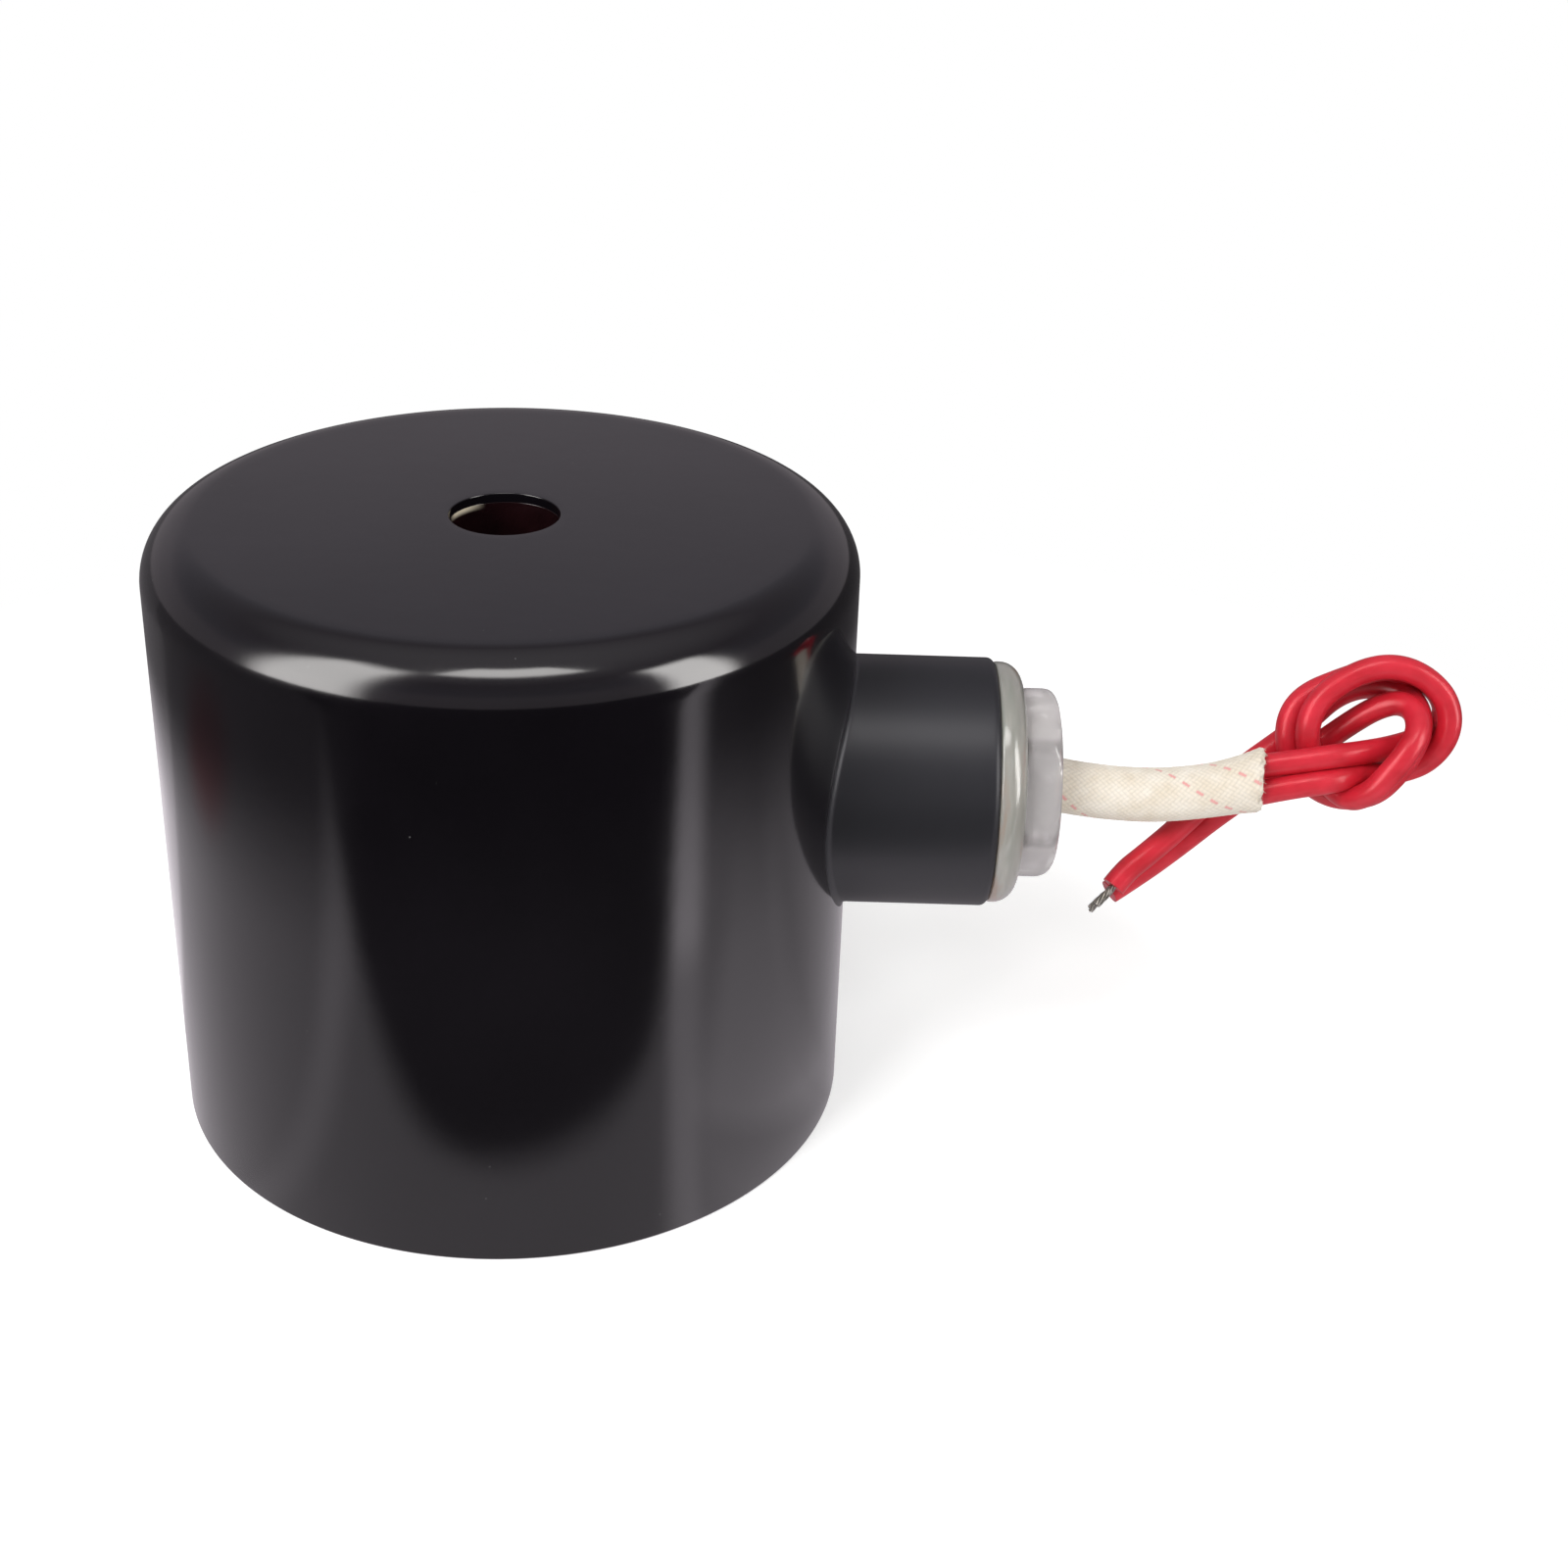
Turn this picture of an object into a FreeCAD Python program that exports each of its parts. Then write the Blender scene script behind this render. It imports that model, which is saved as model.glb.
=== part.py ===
import FreeCAD, Part
import math
import os

# Solenoid valve coil: a drawn steel can with a hole through its middle, a lead outlet on its
# wall, a clamping gland in the outlet, and two knotted leads in a woven sleeve.
# Millimetres. The origin is the centre of the hole at the underside, +Z runs up the hole and
# +X along the lead outlet.

# Can
can_diameter = 90.0
can_height = 82.0
can_wall = 1.2
rim_radius = 6.5
hole_diameter = 14.0
hole_edge_radius = 0.4
port_step = 0.3

# Base plate pressed into the open end of the can
base_thickness = 3.0
base_gap = 0.05
base_chamfer = 0.4

# Steel ring under the lid
yoke_edge_gap = 0.5
yoke_thickness = 3.0
yoke_gap = 0.1

# Former, cheeks, washers and winding
former_wall = 1.5
cheek_edge_gap = 7.8
cheek_thickness = 2.5
cheek_rib_width = 1.0
cheek_rib_height = 0.8
washer_thickness = 0.5
wrap_thickness = 0.35
winding_inset = 2.0
tape_thickness = 0.45
layer_gap = 0.05
resin_gap = 0.05
resin_window_margin = 3.0

# Outlet tube on the wall of the can
outlet_od = 33.0
outlet_wall = 1.5
outlet_height = 46.0
outlet_reach = 18.6
outlet_lip_radius = 1.0
saddle_gap = 0.05

# Gland body
flange_od = 32.0
flange_thickness = 3.6
flange_shoulder = 2.8
flange_back_radius = 0.4
spigot_length = 9.0
spigot_wall = 2.0
spigot_gap = 0.05
neck_od = 18.0
neck_length = 3.8
neck_lead_in = 0.5
pocket_diameter = 14.0
pocket_depth = 9.0
web_thickness = 2.0

# Grommet and loose ring in the pocket of the gland
pocket_gap = 0.1
grommet_length = 8.5
grommet_gap = 0.2
grommet_chamfer = 0.6
ring_thickness = 0.8
ring_bore = 9.4
ring_gap = 0.05

# Gland nut
nut_across_flats = 22.6
nut_corner_turn = -20.0
nut_thread_gap = 0.25
nut_back_gap = 0.2
nut_end_wall = 1.05
nut_end_hole = 9.8
nut_corner_trim = 0.15
nut_dome_depth = 2.2
nut_dome_drop = 2.3
nut_back_chamfer = 0.5

# Leads, sleeve and splices
lead_od = 3.3
conductor_od = 1.1
bare_length = 3.5
pair_gap = 0.2
sleeve_gap = 0.1
sleeve_wall = 0.35
pair_tilt = 28.0
magnet_wire_od = 0.8
wire_gap = 0.05
barrel_od = 3.2
barrel_length = 8.0
barrel_to_plug = 7.0
barrel_grip = 4.0
splice_spacing = 4.8
cover_bore = 3.4
cover_wall = 0.45
cover_overlap = 1.5

# Values that follow from the sizes above
can_radius = can_diameter / 2
can_inner_radius = can_radius - can_wall
lid_underside = can_height - can_wall
hole_radius = hole_diameter / 2
former_radius = hole_radius + former_wall
outlet_radius = outlet_od / 2
outlet_bore_radius = outlet_radius - outlet_wall
outlet_end = can_radius + outlet_reach
plug_start = outlet_end - spigot_length
flange_front = outlet_end + flange_thickness
neck_end = flange_front + neck_length
pocket_floor = neck_end - pocket_depth
pocket_radius = pocket_diameter / 2
neck_radius = neck_od / 2
lead_radius = lead_od / 2
pair_half = (lead_od + pair_gap) / 2
sleeve_inner_radius = pair_half + lead_radius + sleeve_gap
sleeve_radius = sleeve_inner_radius + sleeve_wall
plug_radius = pocket_radius - pocket_gap
grommet_end = pocket_floor + grommet_length
ring_end = grommet_end + ring_thickness
barrel_end = plug_start - barrel_to_plug
barrel_start = barrel_end - barrel_length
cheek_radius = can_inner_radius - cheek_edge_gap
winding_radius = cheek_radius - winding_inset
yoke_radius = can_radius - rim_radius - yoke_edge_gap

UP = FreeCAD.Vector(0, 0, 1)
ALONG = FreeCAD.Vector(1, 0, 0)
ORIGIN = FreeCAD.Vector(0, 0, 0)
OUTLET_CENTRE = FreeCAD.Vector(0, 0, outlet_height)

pair_sin = math.sin(math.radians(pair_tilt))
pair_cos = math.cos(math.radians(pair_tilt))
PAIR_UP = FreeCAD.Vector(0, pair_sin, pair_cos)
PAIR_OUT = FreeCAD.Vector(0, -pair_cos, pair_sin)


def around_hole(radius, height):
    return FreeCAD.Vector(radius, 0, height)


def around_outlet(distance, radius):
    return FreeCAD.Vector(distance, 0, outlet_height + radius)


def profile(corners, place):
    """Face inside a closed outline. A corner with four numbers is reached by an arc through
    its last two."""
    points = [place(corner[0], corner[1]) for corner in corners]
    edges = []
    for index, corner in enumerate(corners):
        start = points[index - 1]
        end = points[index]
        if len(corner) == 4:
            through = place(corner[2], corner[3])
            edges.append(Part.Arc(start, through, end).toShape())
        else:
            edges.append(Part.LineSegment(start, end).toShape())
    return Part.Face(Part.Wire(edges))


def turned_on_hole(corners):
    return profile(corners, around_hole).revolve(ORIGIN, UP, 360)


def turned_on_outlet(corners):
    return profile(corners, around_outlet).revolve(OUTLET_CENTRE, ALONG, 360)


def quarter(centre_a, centre_b, radius, degrees):
    """Point on a corner rounding, at an angle from the first axis."""
    turn = math.radians(degrees)
    return centre_a + radius * math.cos(turn), centre_b + radius * math.sin(turn)


def disc_ring(inner_radius, outer_radius, bottom, top):
    return turned_on_hole([
        (inner_radius, bottom),
        (outer_radius, bottom),
        (outer_radius, top),
        (inner_radius, top),
    ])


def outlet_sleeve(inner_radius, outer_radius, start, end):
    return turned_on_outlet([
        (start, inner_radius),
        (end, inner_radius),
        (end, outer_radius),
        (start, outer_radius),
    ])


def rod_along_outlet(radius, start, end, offset):
    base = OUTLET_CENTRE + ALONG * start + PAIR_UP * offset
    return Part.makeCylinder(radius, end - start, base, ALONG)


# Can: one drawn wall with a rounded top edge, a lid hole and a port for the outlet


def make_casing():
    outer_middle = quarter(can_radius - rim_radius, can_height - rim_radius, rim_radius, 45)
    inner_round = rim_radius - can_wall
    inner_middle = quarter(can_radius - rim_radius, can_height - rim_radius, inner_round, 45)
    edge_middle = quarter(
        hole_radius + hole_edge_radius, can_height - hole_edge_radius, hole_edge_radius, 135)
    can = turned_on_hole([
        (can_inner_radius, 0),
        (can_radius, 0),
        (can_radius, can_height - rim_radius),
        (can_radius - rim_radius, can_height, outer_middle[0], outer_middle[1]),
        (hole_radius + hole_edge_radius, can_height),
        (hole_radius, can_height - hole_edge_radius, edge_middle[0], edge_middle[1]),
        (hole_radius, lid_underside),
        (can_radius - rim_radius, lid_underside),
        (can_inner_radius, can_height - rim_radius, inner_middle[0], inner_middle[1]),
    ])
    port_radius = outlet_bore_radius - port_step
    port = Part.makeCylinder(port_radius, can_diameter, OUTLET_CENTRE, ALONG)
    return can.cut(port)


def make_base_plate():
    plate_radius = can_inner_radius - base_gap
    return turned_on_hole([
        (hole_radius, 0),
        (plate_radius - base_chamfer, 0),
        (plate_radius, base_chamfer),
        (plate_radius, base_thickness),
        (hole_radius, base_thickness),
    ])


# Magnetic parts and winding, stacked round the former


def make_former_tube():
    return disc_ring(hole_radius, former_radius, base_thickness, lid_underside)


def make_upper_yoke_ring():
    bottom = lid_underside - yoke_thickness
    return disc_ring(former_radius + yoke_gap, yoke_radius, bottom, lid_underside)


lower_washer_top = base_thickness + washer_thickness
lower_cheek_top = lower_washer_top + cheek_thickness
upper_washer_top = lid_underside - yoke_thickness
upper_cheek_top = upper_washer_top - washer_thickness
upper_cheek_bottom = upper_cheek_top - cheek_thickness
stack_inner_radius = former_radius + layer_gap
wrap_outer_radius = stack_inner_radius + wrap_thickness
tape_outer_radius = winding_radius + layer_gap + tape_thickness


def make_washer(bottom):
    return disc_ring(stack_inner_radius, cheek_radius, bottom, bottom + washer_thickness)


def make_cheek(bottom):
    """Moulded disc with a raised rib round its rim that keeps the tape in place."""
    rib_inner = cheek_radius - cheek_rib_width
    return turned_on_hole([
        (stack_inner_radius, bottom),
        (cheek_radius, bottom),
        (cheek_radius, bottom + cheek_thickness + cheek_rib_height),
        (rib_inner, bottom + cheek_thickness + cheek_rib_height),
        (rib_inner, bottom + cheek_thickness),
        (stack_inner_radius, bottom + cheek_thickness),
    ])


def make_upper_cheek():
    cheek = make_cheek(0)
    turned_over = cheek.copy()
    turned_over.rotate(ORIGIN, ALONG, 180)
    turned_over.translate(UP * upper_cheek_top)
    return turned_over


def make_inner_wrap():
    return disc_ring(stack_inner_radius, wrap_outer_radius, lower_cheek_top, upper_cheek_bottom)


def make_winding():
    inner = wrap_outer_radius + layer_gap
    return disc_ring(inner, winding_radius, lower_cheek_top, upper_cheek_bottom)


def make_outer_tape():
    inner = winding_radius + layer_gap
    tape = disc_ring(inner, tape_outer_radius, lower_cheek_top, upper_cheek_bottom)
    for side in (1, -1):
        offset = side * splice_spacing / 2
        hole_for_tail = rod_along_outlet(magnet_wire_od / 2 + wire_gap, 0, can_radius, offset)
        tape = tape.cut(hole_for_tail)
    return tape


def make_potting():
    """Resin that fills the can outside the winding, with a clear way to the outlet."""
    side = tape_outer_radius + resin_gap
    rim = cheek_radius + resin_gap
    outer = can_inner_radius - resin_gap
    rib_reach = cheek_rib_height + resin_gap
    top = can_height - rim_radius
    resin = turned_on_hole([
        (rim, base_thickness),
        (outer, base_thickness),
        (outer, top),
        (rim, top),
        (rim, upper_cheek_bottom - rib_reach),
        (side, upper_cheek_bottom - rib_reach),
        (side, lower_cheek_top + rib_reach),
        (rim, lower_cheek_top + rib_reach),
    ])
    window_radius = outlet_bore_radius - resin_window_margin
    window = Part.makeCylinder(window_radius, can_radius, OUTLET_CENTRE, ALONG)
    return resin.cut(window)


# Outlet: tube cut to a saddle where it meets the wall of the can


def make_outlet_tube():
    lip_middle = quarter(
        outlet_end - outlet_lip_radius, outlet_radius - outlet_lip_radius, outlet_lip_radius, 45)
    tube = turned_on_outlet([
        (0, outlet_bore_radius),
        (outlet_end, outlet_bore_radius),
        (outlet_end, outlet_radius - outlet_lip_radius),
        (outlet_end - outlet_lip_radius, outlet_radius, lip_middle[0], lip_middle[1]),
        (0, outlet_radius),
    ])
    can_surface = Part.makeCylinder(can_radius + saddle_gap, can_height)
    return tube.cut(can_surface)


# Gland: flanged body with a hollow plug in the outlet, grommet, loose ring and nut


def make_gland_body():
    flange_radius = flange_od / 2
    plug_outer = outlet_bore_radius - spigot_gap
    plug_inner = plug_outer - spigot_wall
    web_start = pocket_floor - web_thickness
    back = quarter(
        outlet_end + flange_back_radius, flange_radius - flange_back_radius,
        flange_back_radius, 135)
    shoulder = quarter(
        flange_front - flange_shoulder, flange_radius - flange_shoulder, flange_shoulder, 45)
    cable_radius = sleeve_radius + grommet_gap
    return turned_on_outlet([
        (plug_start, plug_inner),
        (web_start, plug_inner),
        (web_start, cable_radius),
        (pocket_floor, cable_radius),
        (pocket_floor, pocket_radius),
        (neck_end, pocket_radius),
        (neck_end, neck_radius - neck_lead_in),
        (neck_end - neck_lead_in, neck_radius),
        (flange_front, neck_radius),
        (flange_front, flange_radius - flange_shoulder),
        (flange_front - flange_shoulder, flange_radius, shoulder[0], shoulder[1]),
        (outlet_end + flange_back_radius, flange_radius),
        (outlet_end, flange_radius - flange_back_radius, back[0], back[1]),
        (outlet_end, plug_outer),
        (plug_start, plug_outer),
    ])


def make_gland_grommet():
    inner = sleeve_radius + grommet_gap
    return turned_on_outlet([
        (pocket_floor, inner),
        (grommet_end, inner),
        (grommet_end, plug_radius - grommet_chamfer),
        (grommet_end - grommet_chamfer, plug_radius),
        (pocket_floor, plug_radius),
    ])


def make_clamp_ring():
    return outlet_sleeve(ring_bore / 2, plug_radius, grommet_end, ring_end)


nut_start = flange_front + nut_back_gap
nut_inner_face = ring_end + ring_gap
nut_end = nut_inner_face + nut_end_wall
nut_corner_radius = nut_across_flats / math.sqrt(3)


def make_gland_nut():
    """Six-sided nut with a domed outer face, open towards the flange."""
    corners = []
    for index in range(6):
        turn = math.radians(nut_corner_turn + 60 * index)
        corners.append(FreeCAD.Vector(
            nut_start,
            -nut_corner_radius * math.sin(turn),
            outlet_height + nut_corner_radius * math.cos(turn)))
    corners.append(corners[0])
    prism = Part.Face(Part.makePolygon(corners)).extrude(ALONG * (nut_end - nut_start))
    outer_radius = nut_corner_radius - nut_corner_trim
    face_radius = outer_radius - nut_dome_drop
    dome_start = nut_end - nut_dome_depth
    dome_middle_x = nut_end - nut_dome_depth * 0.3
    dome_middle_r = outer_radius - nut_dome_drop * 0.35
    dome = turned_on_outlet([
        (nut_start, 0),
        (nut_end, 0),
        (nut_end, face_radius),
        (dome_start, outer_radius, dome_middle_x, dome_middle_r),
        (nut_start + nut_back_chamfer, outer_radius),
        (nut_start, outer_radius - nut_back_chamfer),
    ])
    inside = turned_on_outlet([
        (nut_start, 0),
        (nut_start, neck_radius + nut_thread_gap),
        (nut_inner_face, neck_radius + nut_thread_gap),
        (nut_inner_face, nut_end_hole / 2),
        (nut_end, nut_end_hole / 2),
        (nut_end, 0),
    ])
    return prism.common(dome).cut(inside)


# Splices between the winding wire and the leads


def make_tail(side):
    start = winding_radius + layer_gap
    end = barrel_start + barrel_grip - wire_gap
    return rod_along_outlet(magnet_wire_od / 2, start, end, side * splice_spacing / 2)


def make_splice_barrel(side):
    offset = side * splice_spacing / 2
    barrel = rod_along_outlet(barrel_od / 2, barrel_start, barrel_end, offset)
    grip_end = barrel_start + barrel_grip
    grip = rod_along_outlet(magnet_wire_od / 2 + wire_gap, barrel_start, grip_end, offset)
    return barrel.cut(grip)


def make_splice_cover(side):
    offset = side * splice_spacing / 2
    start = barrel_start - cover_overlap
    end = barrel_end + cover_overlap
    cover = rod_along_outlet(cover_bore / 2 + cover_wall, start, end, offset)
    return cover.cut(rod_along_outlet(cover_bore / 2, start, end, offset))


# Flexible pieces: straight runs joined by arcs that touch both runs


def cord(points, radius, label, bore_radius=0):
    """Round solid along a route, with each arc as large as its two runs allow."""
    edges = []
    radii = []
    start = points[0]
    for index in range(1, len(points) - 1):
        corner = points[index]
        back = points[index - 1] - corner
        ahead = points[index + 1] - corner
        half_turn = (math.pi - back.getAngle(ahead)) / 2
        reach = 0.45 * min(back.Length, ahead.Length)
        arc_radius = reach / math.tan(half_turn)
        radii.append(round(arc_radius, 1))
        back.normalize()
        ahead.normalize()
        first = corner + back * reach
        last = corner + ahead * reach
        inward = back + ahead
        inward.normalize()
        middle = corner + inward * (math.hypot(arc_radius, reach) - arc_radius)
        edges.append(Part.LineSegment(start, first).toShape())
        edges.append(Part.Arc(first, middle, last).toShape())
        start = last
    edges.append(Part.LineSegment(start, points[-1]).toShape())
    path = Part.Wire(edges)
    heading = points[1] - points[0]
    section = Part.Wire([Part.makeCircle(radius, points[0], heading)])
    solid = path.makePipeShell([section], True, False)
    area = math.pi * radius ** 2
    if bore_radius:
        bore = Part.Wire([Part.makeCircle(bore_radius, points[0], heading)])
        solid = solid.cut(path.makePipeShell([bore], True, False))
        area = math.pi * (radius ** 2 - bore_radius ** 2)
    share = solid.Volume / (area * path.Length)
    print(label, "length", round(path.Length, 1), "volume share", round(share, 4))
    print(label, "smallest arc radius", min(radii), "all", radii)
    return solid


# Routes are laid out from the centre of the outlet's end. The sleeve leaves the gland level,
# sags a little and rises to its mouth: distance along, height
sleeve_route = [
    (-5.5, 0.0),
    (1.0, 0.03),
    (8.0, 0.0),
    (15.0, -1.1),
    (22.0, -1.4),
    (28.5, -0.6),
    (33.2, 0.6),
    (37.0, 1.8),
]

# Leads inside the gland and the sleeve: distance along, height, half the pair's spacing
paired_route = [
    (-12.0, 0.0, splice_spacing / 2),
    (-7.0, 0.0, pair_half),
    (0.5, 0.03, pair_half),
    (8.0, 0.0, pair_half),
    (15.0, -1.1, pair_half),
    (22.0, -1.4, pair_half),
    (28.5, -0.6, pair_half),
    (33.2, 0.6, pair_half),
]

# The knot is laid out from the mouth of the sleeve: along, up and out towards the viewer of
# the knot, in the tilted plane of the pair
route_origin = OUTLET_CENTRE + ALONG * outlet_end
knot_origin = route_origin + FreeCAD.Vector(36.6, 0, 1.6)

knot_a = [
    (0.0, 1.8, 0.0),
    (5.0, 3.4, 0.6),
    (10.6, 5.4, 0.0),
    (16.4, 5.9, -3.2),
    (22.0, 6.5, -4.9),
    (25.4, 9.4, -5.0),
    (25.4, 12.8, -4.4),
    (22.4, 15.3, -3.9),
    (17.2, 16.2, -3.4),
    (11.4, 15.0, -3.5),
    (5.6, 12.8, -3.8),
    (2.0, 8.6, -4.1),
    (2.0, 3.4, -4.4),
    (4.4, -1.2, -5.4),
    (8.8, -3.4, -5.7),
    (14.0, -3.0, -3.1),
    (18.6, 0.6, 0.6),
    (21.0, 6.0, 0.0),
    (20.8, 10.6, -2.4),
    (17.0, 12.9, -4.5),
    (12.0, 12.0, -6.0),
    (7.2, 9.0, -7.2),
    (2.2, 5.4, -8.1),
    (-3.4, -0.6, -7.4),
    (-9.6, -6.8, -6.2),
    (-14.8, -11.6, -5.6),
    (-19.4, -15.3, -5.0),
]

knot_b = [
    (0.2, -1.7, 0.0),
    (5.4, -0.5, 0.8),
    (10.8, 2.0, 0.6),
    (16.2, 2.0, -3.2),
    (21.8, 2.6, -2.9),
    (25.2, 6.2, -0.8),
    (24.6, 11.2, -0.3),
    (20.2, 15.1, 0.1),
    (14.6, 16.4, 0.2),
    (9.0, 14.4, 0.0),
    (5.6, 10.0, -0.8),
    (5.7, 5.2, -3.3),
    (7.2, 0.4, -3.4),
    (10.6, -2.4, -1.2),
    (14.8, -0.2, 2.2),
    (17.8, 3.8, 3.2),
    (19.6, 8.0, 2.4),
    (18.2, 11.3, 0.2),
    (14.8, 11.0, -1.9),
    (11.0, 8.0, -4.4),
    (6.8, 4.2, -7.2),
    (1.6, 0.0, -9.2),
    (-4.2, -4.9, -9.6),
    (-9.6, -9.8, -9.2),
    (-14.5, -13.6, -8.8),
    (-18.3, -16.6, -8.2),
]


def lead_route(side, knot):
    start = barrel_end + wire_gap
    route = [OUTLET_CENTRE + ALONG * start + PAIR_UP * (side * splice_spacing / 2)]
    for distance, height, half in paired_route:
        on_centre = route_origin + FreeCAD.Vector(distance, 0, height)
        route.append(on_centre + PAIR_UP * (side * half))
    for along, up, out in knot:
        route.append(knot_origin + ALONG * along + PAIR_UP * up + PAIR_OUT * out)
    return route


def make_bare_end(route):
    """Bare strands that go on in line from the last run of a lead."""
    heading = route[-1] - route[-2]
    heading.normalize()
    return Part.makeCylinder(conductor_od / 2, bare_length, route[-1], heading)


def make_sleeve():
    route = [route_origin + FreeCAD.Vector(x, 0, height) for x, height in sleeve_route]
    return cord(route, sleeve_radius, "glass_sleeve", sleeve_inner_radius)


route_a = lead_route(1, knot_a)
route_b = lead_route(-1, knot_b)

pieces = {
    "casing": make_casing(),
    "base_plate": make_base_plate(),
    "former_tube": make_former_tube(),
    "upper_yoke_ring": make_upper_yoke_ring(),
    "lower_washer": make_washer(base_thickness),
    "upper_washer": make_washer(upper_cheek_top),
    "lower_cheek": make_cheek(lower_washer_top),
    "upper_cheek": make_upper_cheek(),
    "inner_wrap": make_inner_wrap(),
    "winding": make_winding(),
    "outer_tape": make_outer_tape(),
    "potting": make_potting(),
    "outlet_tube": make_outlet_tube(),
    "gland_body": make_gland_body(),
    "gland_grommet": make_gland_grommet(),
    "clamp_ring": make_clamp_ring(),
    "gland_nut": make_gland_nut(),
    "tail_a": make_tail(1),
    "tail_b": make_tail(-1),
    "splice_barrel_a": make_splice_barrel(1),
    "splice_barrel_b": make_splice_barrel(-1),
    "splice_cover_a": make_splice_cover(1),
    "splice_cover_b": make_splice_cover(-1),
    "lead_a": cord(route_a, lead_radius, "lead_a"),
    "lead_b": cord(route_b, lead_radius, "lead_b"),
    "lead_tip_a": make_bare_end(route_a),
    "lead_tip_b": make_bare_end(route_b),
    "glass_sleeve": make_sleeve(),
}

os.makedirs("parts", exist_ok=True)
for name, shape in pieces.items():
    shape.exportStep("parts/" + name + ".step")
print(len(pieces), "pieces")
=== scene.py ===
"""Dresses the solenoid valve coil: enamelled can, outlet, gland, woven sleeve and knotted leads."""

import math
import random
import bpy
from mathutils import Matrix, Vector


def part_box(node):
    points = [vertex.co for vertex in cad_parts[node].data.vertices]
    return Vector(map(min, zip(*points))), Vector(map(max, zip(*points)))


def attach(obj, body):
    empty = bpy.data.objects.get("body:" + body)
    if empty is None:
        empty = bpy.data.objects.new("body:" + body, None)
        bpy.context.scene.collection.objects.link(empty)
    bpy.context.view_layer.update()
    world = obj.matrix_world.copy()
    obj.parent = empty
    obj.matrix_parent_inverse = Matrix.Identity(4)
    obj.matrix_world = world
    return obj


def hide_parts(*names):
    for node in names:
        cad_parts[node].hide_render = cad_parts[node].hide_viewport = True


bl_info = {
    "name": "Solenoid valve coil",
    "version": (1, 0, 0),
    "blender": (4, 5, 0),
    "location": "3D View > Sidebar > Coil",
    "description": "Builds an enamelled valve coil with its gland, woven sleeve and knotted leads",
    "category": "Mesh",
}

import bmesh
import bpy
from bpy.props import FloatProperty, FloatVectorProperty, IntProperty, PointerProperty
from mathutils import Matrix, Vector, noise

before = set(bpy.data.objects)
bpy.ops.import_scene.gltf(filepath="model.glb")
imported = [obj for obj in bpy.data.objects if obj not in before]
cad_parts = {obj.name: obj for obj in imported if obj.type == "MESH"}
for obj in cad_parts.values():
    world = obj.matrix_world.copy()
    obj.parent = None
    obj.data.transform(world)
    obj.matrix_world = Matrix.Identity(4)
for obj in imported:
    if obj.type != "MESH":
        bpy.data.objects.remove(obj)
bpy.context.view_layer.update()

MM = 0.001
CAN_LOW, CAN_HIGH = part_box("casing")
OUTLET_LOW, OUTLET_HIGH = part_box("outlet_tube")
GLAND_LOW, GLAND_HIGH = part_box("gland_body")
NUT_LOW, NUT_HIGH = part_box("gland_nut")
RING_LOW, RING_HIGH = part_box("clamp_ring")
GROMMET_LOW, GROMMET_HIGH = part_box("gland_grommet")
FORMER_LOW, FORMER_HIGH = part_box("former_tube")
BASE_LOW, BASE_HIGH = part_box("base_plate")

CAN_RADIUS = (CAN_HIGH.x - CAN_LOW.x) / 2
CAN_HEIGHT = CAN_HIGH.z
OUTLET_HEIGHT = (OUTLET_LOW.z + OUTLET_HIGH.z) / 2
OUTLET_RADIUS = (OUTLET_HIGH.z - OUTLET_LOW.z) / 2
OUTLET_END = OUTLET_HIGH.x
FLANGE_RADIUS = (GLAND_HIGH.z - GLAND_LOW.z) / 2
NECK_END = GLAND_HIGH.x

# Places on the routes are measured from the centre of the outlet's end, in the tilted plane
# of the pair of leads
ROUTE_START = Vector((OUTLET_END, 0, OUTLET_HEIGHT))
PAIR_TILT = math.radians(28)
PAIR_UP = Vector((0, math.sin(PAIR_TILT), math.cos(PAIR_TILT)))
PAIR_OUT = Vector((0, -math.cos(PAIR_TILT), math.sin(PAIR_TILT)))
KNOT_START = ROUTE_START + Vector((36.6, 0, 1.6)) * MM

SPLICE_HALF = 2.4
PAIR_HALF = 1.75

SLEEVE_ROUTE = [
    (-5.5, 0.0),
    (1.0, 0.03),
    (8.0, 0.0),
    (15.0, -1.1),
    (22.0, -1.4),
    (28.5, -0.6),
    (33.2, 0.6),
    (37.0, 1.8),
]

# Yarns of the braid that are red
TRACER_YARNS = (22, 31)

PAIRED_ROUTE = [
    (-15.95, 0.0, SPLICE_HALF),
    (-12.0, 0.0, SPLICE_HALF),
    (-7.0, 0.0, PAIR_HALF),
    (0.5, 0.03, PAIR_HALF),
    (8.0, 0.0, PAIR_HALF),
    (15.0, -1.1, PAIR_HALF),
    (22.0, -1.4, PAIR_HALF),
    (28.5, -0.6, PAIR_HALF),
    (33.2, 0.6, PAIR_HALF),
]

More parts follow.
